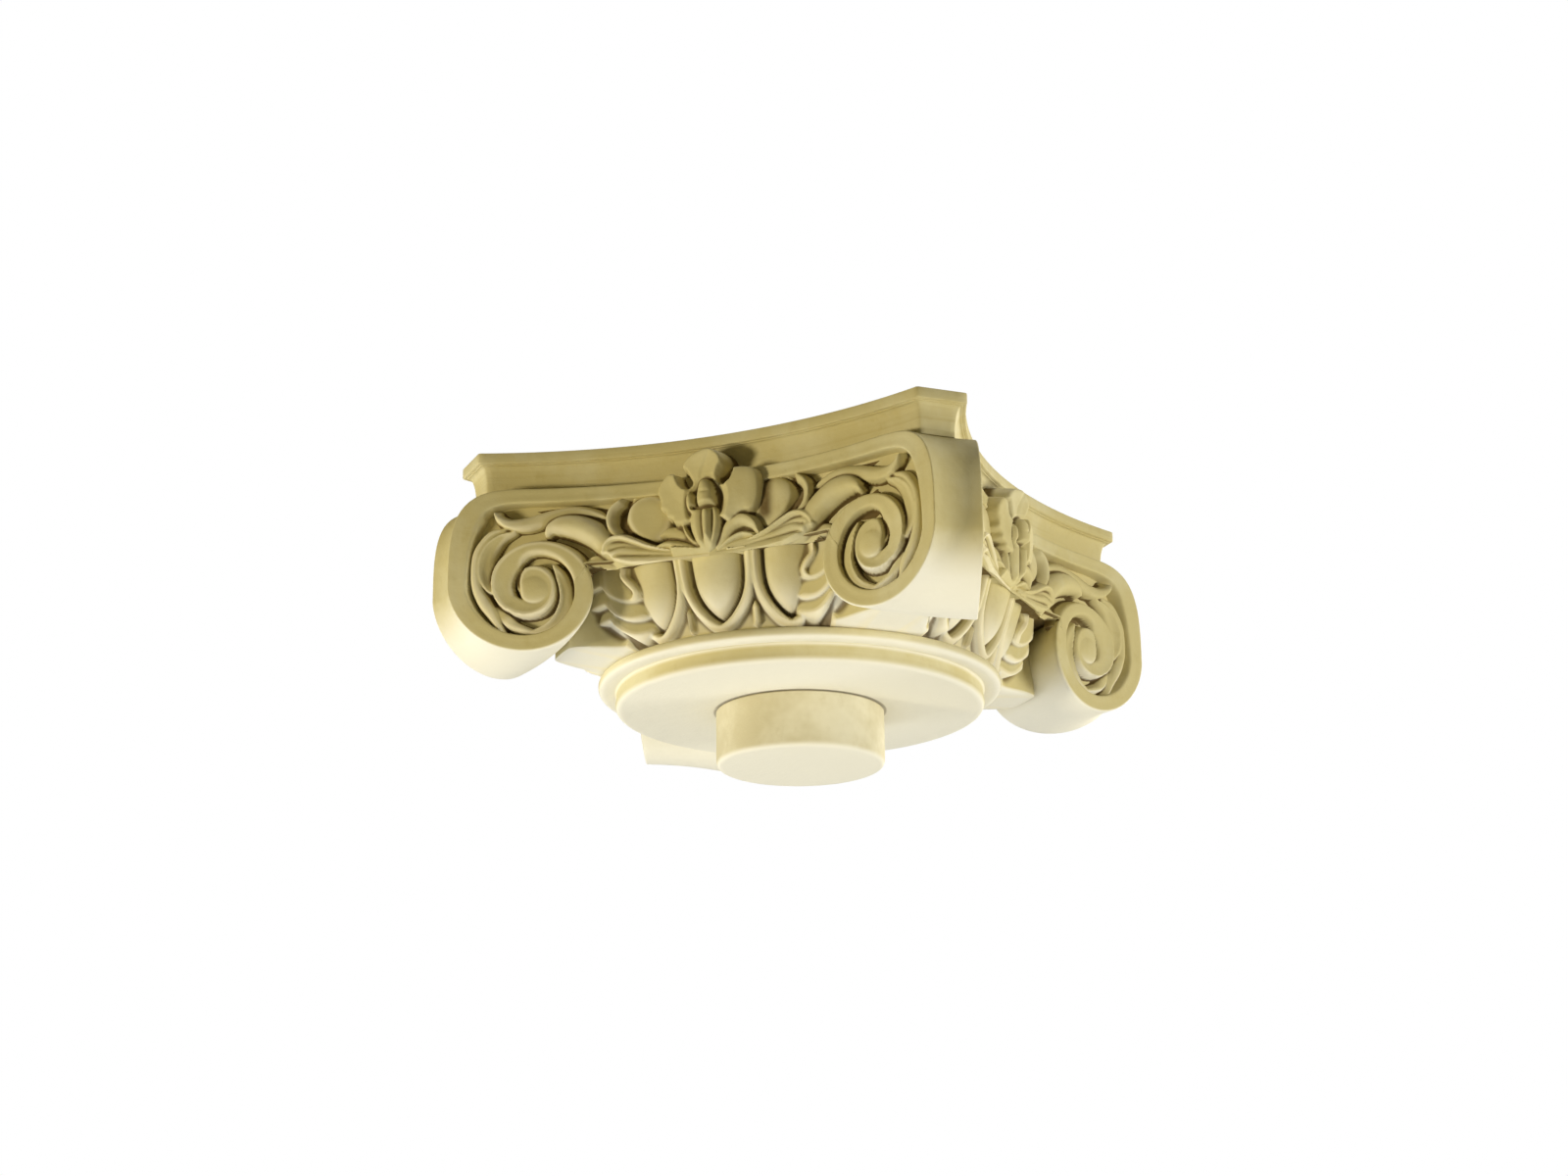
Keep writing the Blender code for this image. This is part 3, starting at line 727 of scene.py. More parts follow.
@dataclass
class Corner:
    """A corner: two volutes back to back, the bands, and the carving of both half friezes."""

    face: HollowFace = HollowFace()
    volute: VoluteLine = VoluteLine()
    soffit: float = 120.5
    ground: float = -11.0
    scoop: float = 4.5
    window: Station = (-4, 184, 56, 175)
    grid: float = 0.5
    softness: float = 0.42
    cell: float = 0.9
    lip: float = 3.6
    undercut: float = 12.0
    end_quarter: float = 3.3
    seam: float = -2.0
    top_end: float = 131.9
    left: float = -1.0
    back: float = -13.0
    overhang_end: float = 86.0
    soffit_end: float = 205.0
    soffit_painted_shade: float = 0.85
    shadow_middle: float = 43.0
    shadow_width: float = 7.0
    shadow_low: float = 134.0
    shadow_high: float = 184.0
    shadow_strength: float = 0.85
    columns: int = 202
    rows: int = 130
    rows_below: int = 72
    rim: tuple[Station, ...] = (  # share of the band's width, further inset, height
        (0, 0, -1.6), (0, 0.22, -0.75), (0, 0.75, -0.22), (0, 1.6, 0.0), (0.35, 0, -0.35),
        (0.68, 0, -0.35), (1, -1.3, 0.1), (1, -0.5, -0.15), (1, -0.1, -0.8), (1, 0.1, -2.2),
        (1, 0.5, -6.0), (1, 1.0, -10.5))

    def carve(self) -> Relief:
        """Carves one half face, in millimetres before the hollow face."""
        relief = Relief(self.window, self.grid, self.ground)
        self._leaves(relief)
        self._volute(relief)
        relief.soften(self.softness)
        return relief

    def _volute(self, relief: Relief) -> None:
        """Carves the stem that coils to the eye and the lobes in its canal."""
        stem = []
        for quarter in np.arange(2.9, 9.3, 0.12):
            out = np.array(self.volute.outer_spot(quarter))
            if quarter < 5.4:
                inn = np.array(self.volute.inner_spot(quarter))
            else:
                inn = np.array(self.volute.spot(6.0, quarter))
            dish = float(np.clip((quarter - 4.0) / 0.7, 0, 1))
            late = float(np.clip((quarter - 6.0) / 1.0, 0, 1))
            middle = (out + inn) / 2
            half = float(np.hypot(*(out - inn))) / 2
            stem.append((*middle, half, -0.2 + 1.0 * dish - 1.2 * late,
                         -1.6 * dish + 0.8 * late, -0.4 - 3.6 * dish + 2.5 * late))
        relief.leaf(stem, ridge=-0.1, round_off=1.6, fall=3.5, smooth=3)
        relief.boss(131.5, 103.5, 9.6, 9.6, -0.6, 0.8, 2.5)
        relief.groove((
            (139, 121, -3.5), (142.5, 116, -6), (143.5, 109, -6), (141.5, 101, -3),
            (140, 98, -0.5)), 2.6)
        relief.leaf((
            (146, 148, 0.8, -2, -3, -4), (155, 143, 3, -1, -3.5, -5.5),
            (161.5, 134.5, 4.5, -0.6, -4, -6), (164.5, 124, 5, -0.6, -4, -6),
            (164.5, 113.5, 4.2, -0.8, -4, -6), (162, 105, 2.4, -1.4, -3, -4),
            (159, 101.5, 0.6, -2.5, -3, -4)), ridge=-0.2)
        relief.leaf((
            (149, 151, 0.6, -4, -3, -4), (160, 147.5, 2.8, -4, -1.6, -3.5),
            (166.5, 140, 3.2, -4, -1.2, -3.5), (170.8, 131, 3.2, -4, -1, -3.5),
            (172, 120, 3.2, -4, -1, -3.5), (171, 107, 3.6, -4, -0.8, -3.5),
            (166.5, 95, 4, -4, -0.8, -3.5), (159.5, 84, 3.6, -4, -1, -3.5),
            (155.5, 74, 2, -5, -2.5, -4), (153, 70, 0.5, -5, -4, -5)))
        relief.leaf((
            (158, 91, 0.8, -5, -4.5, -5), (152, 82.5, 3.2, -4.5, -2.5, -3),
            (146, 76.5, 3, -4.5, -1.6, -3.5), (137, 73, 2.2, -5, -2.2, -4),
            (129, 72, 0.6, -6, -4, -5)))
        relief.leaf((
            (119.5, 122.5, 0.6, -3, -2.5, -3), (114, 115, 3, -1, -2.6, -5),
            (110.5, 106, 4, -0.8, -3.4, -6), (109.5, 96, 4.2, -0.8, -3.6, -6),
            (112.5, 85.5, 4.2, -0.8, -3.4, -6), (119, 77, 3.6, -1, -3.2, -5.5),
            (128, 72.5, 2.6, -2, -3.4, -5), (138, 72, 0.8, -4, -4, -5)), ridge=0.1)

    def _leaves(self, relief: Relief) -> None:
        """Carves the leaves of the frieze."""
        relief.leaf((
            (80, 156, 1, -7, -6, -7), (90, 161, 3, -6, -3.5, -5), (104, 163, 4.5, -5, -2, -4.5),
            (120, 160, 5, -4.5, -1.4, -4), (136, 155, 5, -4, -1, -2.5),
            (148, 154.5, 3.8, -3.5, 0.4, 0.5), (155, 158, 2.2, -2, 2, 1.5),
            (158, 162, 0.8, 0, 2, 1)))
        relief.leaf((
            (56, 112, 6, -6, -2, -5), (66, 121, 8, -4, 1.5, -5), (77, 131.5, 9, -1.5, 3.5, -5),
            (88, 142.5, 9, -0.5, 4.5, -5), (100, 149.5, 8.6, 0.5, 4.5, -4),
            (111, 151.5, 7, 1, 4, -3), (119, 149.5, 4.4, 0.5, 3, -2),
            (122.5, 146, 1.6, 0, 1.5, -2)), ridge=0.15, round_off=2.4)
        relief.groove((
            (118, 139.5, -7), (109, 139.5, -9), (98, 131.5, -9.5), (90, 124, -9.5),
            (84, 117, -9)), 2.2)
        relief.leaf((
            (44, 131, 0.8, -5, -3, -5), (56, 133, 2.2, -4, 0, -3), (67, 139, 3.4, -4, 1.5, -1),
            (74.5, 147, 3.4, -4.5, 2, 1), (76.5, 155.5, 3.4, -4.5, 2, 1.5),
            (74, 162.5, 3, -4.5, 2, 1), (67, 168, 2.4, -5, 1, 0),
            (58, 171, 1.2, -6, -1, -3)), ridge=-0.7)
        relief.boss(49, 152, 17.5, 18.5, -2, 1.6, 5)
        relief.groove((
            (36, 131.5, -2), (50, 134.5, -3.5), (61, 141, -5), (67.2, 151, -6.5), (67.2, 160, -7),
            (64, 170, -8)), 2)
        relief.leaf((
            (-6, 120.5, 4.5, 3.5, 5, 5), (0, 120.5, 4.5, 3.5, 5, 5), (20, 121.8, 5.2, 2.5, 5.5, 6),
            (40, 123.6, 6.4, 1.5, 5.5, 6.5), (58, 127.2, 8.8, 0.5, 5, 6.5),
            (68, 130, 8.6, -0.5, 5, 6), (76, 131.5, 6, -1, 4.5, 5),
            (81, 130.5, 2.6, -1, 2.5, 3)), ridge=-0.1)
        relief.leaf((
            (30, 125, 0.8, 4, 6, 4), (45, 129, 1.8, 4, 7.6, 4), (57, 134.5, 2.4, 3, 7.6, 4),
            (67, 138.6, 2.8, 1, 7.4, 4), (75, 138, 2.6, 0, 6.6, 3), (80.5, 133.5, 1.8, 0, 5, 2),
            (82, 129, 0.8, 0, 3, 1)))
        relief.leaf((
            (70, 119, 4, -6, -4, -5), (80, 121.5, 6, -6, -4, -5), (90, 122.5, 6.5, -6, -4, -5),
            (99, 118.5, 4.5, -7, -5, -6)))
        relief.groove((
            (6, 120.5, 4.2), (30, 121.6, 4.4), (52, 123.4, 3.6), (70, 124.6, 2.8),
            (80, 122.6, 2.4)), 2)
        relief.groove((
            (14, 122.6, 4.4), (34, 124.6, 4.6), (52, 128.2, 3.8), (66, 131.5, 3),
            (76, 129.6, 2.4)), 2)

    def _outline(self) -> tuple[np.ndarray, np.ndarray]:
        """Lays out the block's outline.

        Returns:
            Rows of points round the block from the flower, and each point's band width.
        """
        spots: list[Spot] = [(u, self.volute.top) for u in np.arange(self.seam, self.top_end, 4.0)]
        widths = [self.volute.band_top] * len(spots)
        for quarter in np.arange(0.0, self.end_quarter + 0.001, 0.033):
            spots.append(self.volute.outer_spot(quarter))
            inner = self.volute.inner_spot(quarter)
            gap = math.dist(spots[-1], inner)
            widths.append(gap * float(np.clip((self.end_quarter - quarter) / 0.15, 0.06, 1)))
        bottom = self.soffit + 0.7
        spots.append((spots[-1][0] - 2.0, bottom))
        widths.append(0.6)
        for u in np.linspace(spots[-1][0] - 4.0, self.seam, 24):
            spots.append((u, bottom))
            widths.append(0.6)
        return np.array(spots), np.array(widths)

    def _block(self) -> Object:
        """Models the block: the scooped roll between the faces and both bands.

        Returns:
            The closed block.
        """
        outline, widths = self._outline()
        along = np.roll(outline, -1, 0) - np.roll(outline, 1, 0)
        along[0], along[-1] = (1, 0), (-1, 0)
        along /= np.hypot(along[:, 0], along[:, 1])[:, None]
        inward = np.stack([along[:, 1], -along[:, 0]], 1)
        faces = []
        for share, inset, proud in self.rim:
            shift = np.clip(widths * share + inset, 0, widths + 1.0)
            spots = outline + inward * shift[:, None]
            u = np.where(outline[:, 0] < self.seam + 0.1, self.seam, spots[:, 0])
            faces.append(self.face.place(u, proud, spots[:, 1]))
        ease = 1 - 0.6 * np.clip((outline[:, 1] - 160) / 21, 0, 1) ** 2
        roll = []
        for share in np.linspace(0, 1, 25)[1:-1]:
            shift = self.scoop * MM * 4 * share * (1 - share) / math.sqrt(2) * ease
            rows = faces[0] * (1 - share) + across_diagonal(faces[0]) * share
            roll.append(rows + np.stack([-shift, shift, shift * 0], 1))
        far_side = [across_diagonal(rows) for rows in faces]
        block = swept_rings("corner_block", faces[::-1] + roll + far_side)
        spots = points_of(block) / MM
        near = np.hypot(spots[:, 0], spots[:, 1]) < self.soffit_end
        # Painted shade under the overhang: the soffit is darkened.
        soffit = near & (np.abs(spots[:, 2] - self.soffit) < 1.0)
        set_values(block, "hollow", np.where(soffit, self.soffit_painted_shade, 0.0))
        return block

    def _inside(self, u: np.ndarray, z: np.ndarray) -> np.ndarray:
        """Tells which places of the carved ground lie within the bands, a little over."""
        eye = (self.volute.eye_u, self.volute.eye_z)
        away = np.hypot(u - eye[0], z - eye[1])
        angle = np.degrees(np.arctan2(z - eye[1], u - eye[0]))
        quarter = np.mod(1 - angle / 90, 4)
        known = np.arange(0, 4.0, 0.05)
        reach = []
        for value in known:
            if value <= self.end_quarter - 0.1:
                reach.append(math.dist(self.volute.inner_spot(value), eye) + 1.6)
            else:
                reach.append(math.dist(self.volute.outer_spot(value), eye) - 1.0)
        in_volute = away < np.interp(quarter, known, reach)
        lip = self.soffit - 0.1 - self.lip * np.clip((88 - u) / 6, 0, 1)
        in_frieze = ((u < self.volute.eye_u) & (z > lip)
                     & (z < self.volute.top - self.volute.band_top + 1.5))
        return in_volute | in_frieze

    def _panel(self, relief: Relief) -> Object:
        """Models the carved ground of the right half face as a closed slab."""
        low = self.soffit - self.rows_below * self.cell
        window = (self.left, self.left + self.columns * self.cell,
                  low, low + self.rows * self.cell)
        panel = relief.sheet("carved_ground", window, self.cell)
        u, _, z = points_of(panel).T
        trim_to(panel, self._inside(u, z))
        close_behind(panel, self.back)
        spots = points_of(panel)
        behind = spots[:, 1] < self.back + 0.1
        under = behind & (spots[:, 2] < self.soffit) & (spots[:, 0] < self.overhang_end)
        spots[under, 2] += self.undercut
        # Painted shade: the walls behind the carved ground are darkened fully.
        set_values(panel, "hollow", np.where(behind, 1.0, values_of(panel, "hollow")))
        move_points(panel, self.face.place(*spots.T))
        return panel

    def _paint_shadow_beside_flower(self, panel: Object) -> None:
        """Paints a cast shadow of the flower's petals on the ground beside it, with some dirt."""
        u, _, z = (points_of(panel) / MM).T
        dirt_and_shade = self.shadow_strength * np.exp(-((u - self.shadow_middle) / self.shadow_width) ** 2)
        dirt_and_shade = dirt_and_shade * np.clip((z - self.shadow_low) / 10, 0, 1)
        dirt_and_shade = dirt_and_shade * np.clip((self.shadow_high - z) / 12, 0, 1)
        set_values(panel, "hollow", np.maximum(values_of(panel, "hollow"), dirt_and_shade))

    def build(self) -> Object:
        """Models one whole corner.

        Returns:
            The corner between the front face and the right face.
        """
        panel = self._panel(self.carve())
        pick(panel)
        bpy.ops.object.duplicate()
        twin = rename(bpy.context.object, "carved_ground_side")
        move_points(twin, across_diagonal(points_of(twin)))
        self._paint_shadow_beside_flower(panel)
        parts = [panel, twin, self._block()]
        for part in parts:
            outward(part, 55)
        return join(parts, "corner")


@dataclass
class EggRow:
    """The bell with its eggs, shells and darts, and the palmettes by the volutes."""

    count: int = 18
    foot_radius: float = 145.5
    head_radius: float = 160.0
    tip: float = 75.0
    head: float = 120.5
    low: float = 65.0
    high: float = 124.0
    widest: float = 101.0
    crown: float = 9.5
    crevice: float = -4.5
    rim: float = 7.0
    wall: float = 5.4
    shell_out: float = 8.4
    dart_top: float = 88.5
    web_reach: float = 191.0
    web_depth: float = 34.0
    web_start: float = 31.0
    web_ease: float = 9.5
    scale_middle: float = 25.5
    scale_half: float = 4.2
    scale_start: float = 21.3
    dirt_and_shade: float = 0.7
    softness: float = 0.35
    steps: int = 960
    rows: int = 56
    scales: tuple[Station, ...] = ((123, 97, 0), (105, 84, 0.5), (91, 73, -1))
    widths: tuple[Spot, ...] = ((75, 0), (77, 3.6), (80, 7.4), (86, 12.8), (92, 16.4),
                                (98, 18.6), (105, 19.7), (112, 20.0), (126, 20.0))

    def radius(self, z: np.ndarray) -> np.ndarray:
        """Gives the bell's radius at a height."""
        share = (z - self.tip) / (self.head - self.tip)
        return self.foot_radius + (self.head_radius - self.foot_radius) * share

    def part(self, count: int) -> float:
        """Gives the length of one of so many equal parts of the bell's turn."""
        return math.tau * self.head_radius / count

    def _unit(self) -> Relief:
        """Carves one egg with its shell and the halves of the darts beside it."""
        pitch = self.part(self.count)
        relief = Relief((-pitch / 2, pitch / 2, self.low, self.high), pitch / 96, -1.0)
        table = smooth_line(self.widths, 0.5)
        half = np.interp(relief.up, table[:, 0], table[:, 1], left=0)
        edge = table[:, ::-1]
        far, _, _ = relief.along(np.vstack([edge[::-1], edge * (-1, 1)]))
        inside = (np.abs(relief.across) < half) & (relief.up > self.tip)
        out = np.where(inside, -far, far)
        side = np.clip(np.abs(relief.across) / np.maximum(half, 0.01), 0, 1)
        drop = np.clip((self.widest - relief.up) / (self.widest - self.tip), 0, 1)
        dome = np.sqrt(np.clip(1 - side ** 2.1, 0, 1)) * np.sqrt(np.clip(1 - drop ** 2.2, 0, 1))
        egg = self.crevice + (self.crown - self.crevice) * dome
        wall = (self.rim - self.crevice) * (1 - np.clip(out / self.wall, 0, 1)) ** 1.4
        lip = np.where(out < self.wall, self.rim - wall, self.rim - (out - self.wall) * 0.3)
        lip = lip - np.maximum(out - self.shell_out, 0) * 2.2
        shell = np.where(out > 0, lip, NOWHERE)
        beyond = np.abs(np.abs(relief.across) - pitch / 2)
        peak = np.clip((self.dart_top - relief.up) / 18.0, 0, 1)
        dart = (-1 + 6.5 * np.minimum(peak * 3, 1) - beyond * 1.9
                - np.maximum(70 - relief.up, 0) * 3)
        dart = np.where(relief.up < self.dart_top, dart, NOWHERE)
        ground = np.where(out > 4, -1.0, self.crevice)
        relief.height = np.maximum.reduce([ground, np.where(inside, egg, NOWHERE), shell, dart])
        return relief

    def carve(self) -> Relief:
        """Carves the quarter of the bell behind one face, over its length in millimetres.

        Returns:
            The relief, with the palmettes at both ends.
        """
        unit = self._unit()
        pitch, arc = self.part(self.count), self.part(4)
        quarter = Relief((-arc / 2, arc / 2, self.low, self.high), unit.step, 0.0)
        beside = np.mod(quarter.across + pitch / 2, pitch) - pitch / 2
        quarter.height = unit.read(unit.height, beside, quarter.up)
        for side in Side:
            self._palmette(quarter, side)
        quarter.soften(self.softness)
        return quarter

    def _palmette(self, relief: Relief, side: Side) -> None:
        """Lays three scallop scales and a curl over the egg next to a volute."""
        per_degree = math.radians(1) * self.head_radius
        degrees = relief.across * side.value / per_degree
        x = np.clip((degrees - self.scale_middle) / self.scale_half, -1, 1.25)
        base = 8.0 + 16.5 * np.clip((degrees - 21.5) / 8.0, 0, 1) ** 1.3
        for head, low, out in self.scales:
            top = head + 6 * x
            foot = low + np.where(x < 0, 3.5, 7.5) * np.abs(x) ** 2.2
            share = np.clip((top - relief.up) / (top - foot), 0, 1)
            body = base + out - 4.5 + 6.0 * share ** 0.9
            body = body * np.sqrt(np.clip(1 - np.clip(-x, 0, 1) ** 4, 0, 1))
            body = body - np.maximum(foot - relief.up, 0) * 3.0
            relief.raise_to(body, (degrees > self.scale_start) & (relief.up < top))
        plain = base - 3.8 - np.maximum(84 - relief.up, 0) * 0.9
        plain = plain - 7.0 * np.clip((31.5 - degrees) / 4.0, 0, 1)
        relief.raise_to(plain, (degrees > 27.5) & (relief.up < 100))
        ease = np.clip((degrees - self.web_start) / self.web_ease, 0, 1)
        web = (self.web_reach - self.radius(relief.up)
               - self.web_depth * (1 - ease * ease * (3 - 2 * ease)))
        relief.raise_to(web, degrees > self.web_start)
        a = side.value * per_degree
        relief.leaf([(a * 25.4, 121, 1.4, 13, 17, 13), (a * 25.6, 114, 2.4, 14, 18, 13),
                     (a * 24.2, 108, 3.0, 12, 17, 11), (a * 23.4, 103, 2.8, 10, 15.5, 9),
                     (a * 24.4, 98.5, 1.8, 12, 15.5, 12), (a * 26.4, 98.0, 0.8, 14, 16, 14)])

    def build(self) -> Object:
        """Models the bell: a cylinder split finely and pushed out to the carving.

        Returns:
            The closed bell.
        """
        quarter = self.carve()
        deselect_all()
        bpy.ops.mesh.primitive_cylinder_add(vertices=self.steps, radius=1.0, depth=2.0,
                                            end_fill_type="NGON")
        bell = rename(bpy.context.object, "echinus")
        edit(bell, "DESELECT")
        bpy.ops.mesh.select_mode(type="EDGE")
        shape = bmesh.from_edit_mesh(bell.data)
        for edge in shape.edges:
            edge.select = abs(edge.verts[0].co.z - edge.verts[1].co.z) > 1
        bmesh.update_edit_mesh(bell.data)
        bpy.ops.mesh.subdivide(number_cuts=self.rows - 1)
        bpy.ops.mesh.select_mode(type="VERT")
        bpy.ops.object.mode_set(mode="OBJECT")
        spots = points_of(bell)
        angle = np.arctan2(spots[:, 0], -spots[:, 1])
        z = self.low + (spots[:, 2] + 1) / 2 * (self.high - self.low)
        local = np.mod(angle + math.pi / 4, math.pi / 2) - math.pi / 4
        arc = local * self.head_radius
        proud = quarter.read(quarter.height, arc, z)
        foot = np.clip((z - self.low) / 3.5, 0, 1)
        radius = self.radius(z) + proud * foot + (1 - foot) * 2.0
        move_points(bell, np.stack([radius * np.sin(angle), -radius * np.cos(angle), z], 1) * MM)
        sunk = quarter.read(quarter.hollow(), arc, z)
        # Painted shade, with some dirt, in the crevices between eggs, shells and darts; crests keep
        # their painted highlight.
        set_values(bell, "hollow", np.where(sunk > 0, sunk * self.dirt_and_shade, sunk))
        outward(bell)
        return bell


@dataclass
class Flower:
    """The flower in the middle of a face: petals, pistil and husk, in millimetres."""

    face: HollowFace = HollowFace()
    ground: float = -14.0
    cell: float = 0.65
    half_across: float = 48.0
    low: float = 119.5
    high: float = 201.0
    foot: float = 6.5
    foot_level: float = 120.0
    most_dirt_and_shade: float = 0.75
    margin: float = 2.0
    grid: float = 0.5
    softness: float = 0.45

    def carve(self) -> Relief:
        """Carves the flower.

        Returns:
            The relief, in millimetres before the hollow face.
        """
        side = self.half_across + self.margin
        relief = Relief((-side, side, self.low - self.margin, self.high + self.margin),
                        self.grid, self.ground)
        self._petals(relief)
        self._low_leaves(relief)
        self._pistil(relief)
        relief.height = np.minimum(relief.height, self.foot + (relief.up - self.foot_level))
        relief.soften(self.softness)
        return relief

    def _petals(self, relief: Relief) -> None:
        """Raises the three large petals, with drilled eyes between them."""
        relief.slab((
            (-15, 165), (-9, 162), (0, 161), (7, 162), (9, 168), (10.5, 174), (13, 181),
            (13.5, 187), (9.5, 192.5), (3, 195.5), (-5, 194.5), (-12, 192), (-17.5, 186),
            (-17, 175)), (0, 182), 16.5, (0.16, 0.1), 2.5, 1.8)
        relief.groove(((-5, 169, 12), (-2, 180, 13), (4, 192, 16)), 0.45)
        right = (
            (6, 150), (11, 145), (17, 141), (22, 144), (28, 146.5), (34, 146.5), (38, 150),
            (40.5, 159), (40.5, 170), (37.5, 176.5), (31, 179), (23, 179), (16, 176.5), (12, 170),
            (8, 162))
        relief.slab(right, (27, 163), 13, (-0.26, 0.05), 0, 3)
        left = (
            (-8, 162), (-12, 170), (-15, 176), (-22, 179), (-29, 181), (-35, 176.5), (-38.5, 169),
            (-36, 161), (-36.5, 156), (-32, 153.5), (-31, 149), (-26, 147), (-25, 143.5),
            (-17, 142), (-11, 145), (-6, 150))
        relief.slab(left, (-25, 163), 13, (0.24, 0.05), 2.5, 1.6)
        bowl = 1.5 + 0.95 * np.maximum(np.hypot(relief.across * 1.1, relief.up - 156) - 7, 0)
        relief.height = np.where(relief.height > -5, np.minimum(relief.height, bowl),
                                 relief.height)
        relief.groove(((13.5, 172.5, -4), (15.5, 174.5, -6), (17, 178, -5)), 3.5)
        relief.groove(((-14.5, 172.5, -4), (-16.5, 175, -6), (-18.5, 179, -5)), 3.5)

    def _low_leaves(self, relief: Relief) -> None:
        """Raises the curled leaves beside the husk."""
        relief.leaf((
            (8, 122, 2.5, 5, 6, 3), (13, 130, 4.5, 6, 7.5, 3), (19, 137, 5.5, 7.5, 9, 2),
            (27, 139, 5, 9, 9.5, 1), (34, 135.5, 3.8, 9, 9, 1),
            (38.5, 129.5, 1.4, 6, 6, 2)), ridge=0.4)
        relief.leaf((
            (8, 122, 1.5, 4, 6, 4), (17, 127, 2.2, 4, 8, 4), (26, 130, 2.2, 4, 8, 4),
            (34, 128.5, 1.8, 3, 7, 3)))
        relief.leaf((
            (-6, 122, 2, 4, 7, 4), (-18, 127, 3, 4, 8.5, 3), (-32, 130, 3.2, 3, 8.5, 2),
            (-42, 128, 1.6, 2, 6, 2)), ridge=0.3)
        relief.leaf((
            (-8, 124, 3, 2, 4, 3), (-20, 135, 6, 0, 4.5, 2), (-32, 139, 4, 0, 3.5, 2),
            (-38, 138, 1.5, 0, 2, 1)))

    def _pistil(self, relief: Relief) -> None:
        """Raises the pistil in two tiers over the two lobes of the husk."""
        relief.leaf((
            (-3, 122, 1.5, 6, 7, 6), (-12.5, 130, 1.8, 5, 9.5, 5), (-18, 140, 2, 4, 10, 4),
            (-19, 149, 0.9, 3, 7, 3)))
        relief.leaf((
            (-7, 147, 2.6, 8, 14, 8), (-10.5, 154, 4, 10, 16, 10), (-11.5, 161, 3.6, 10, 16, 10),
            (-12, 164, 1.6, 9, 14, 9)), ridge=0.2)
        husk_left = (
            (-1.6, 122), (-1.4, 131), (-1.6, 141), (-2.4, 150), (-6, 153), (-10, 152), (-12.6, 146),
            (-12.4, 138), (-9, 129.5), (-4.5, 123.5))
        relief.slab(husk_left, (-6, 140), 15.5, (0.22, 0.05), 0, 2.6, 5, 5)
        husk_right = (
            (3.2, 122), (6, 125.5), (9.2, 131.5), (10.9, 139.5), (10.6, 147), (8.6, 150.5),
            (5.6, 150.5), (5.2, 141), (4.4, 131))
        relief.slab(husk_right, (7, 140), 15, (-0.15, 0.05), 0, 2.2, 4.5, 5)
        husk_middle = (
            (0.2, 121.5), (2.4, 123), (4.2, 131), (5, 141), (4.6, 148.5), (1.8, 151.5), (-1.2, 149),
            (-1.6, 141), (-1, 131))
        relief.slab(husk_middle, (2, 140), 19, (0, 0.06), 0, 2.2, 4.5, 5)
        pistil = (
            (-4, 151), (1.5, 150.2), (6.4, 151), (7.6, 156), (7.2, 163), (5.4, 169), (1.6, 172),
            (-2.6, 170.8), (-4.4, 165), (-5, 158))
        relief.slab(pistil, (1.5, 162), 21, (0.05, -0.05), 0, 2.6, 5, 6)
        relief.groove(((-5, 163.2, 18), (1, 161.8, 19.4), (7, 162.8, 18)), 1.4)
        relief.groove(((-9, 152.2, 10), (1, 151.2, 12), (9, 152.2, 10)), 3)

    def build(self) -> Object:
        """Models the flower of the front face from a grid pushed out to its carving.

        Returns:
            The closed flower.
        """
        relief = self.carve()
        window = (-self.half_across, self.half_across, self.low, self.high)
        flower = relief.sheet("flower", window, self.cell)
        height = points_of(flower)[:, 1]
        # Painted shade, with some dirt, in the crevices, and painted shade at the feet of the
        # petals' walls.
        sunk = np.minimum(values_of(flower, "hollow"), self.most_dirt_and_shade)
        set_values(flower, "hollow", np.maximum(sunk, np.clip((2.0 - height) / 7.0, 0, 1)))
        trim_to(flower, height > self.ground + 0.5)
        close_behind(flower, self.ground - 2.0)
        move_points(flower, self.face.place(*points_of(flower).T))
        outward(flower)
        return flower


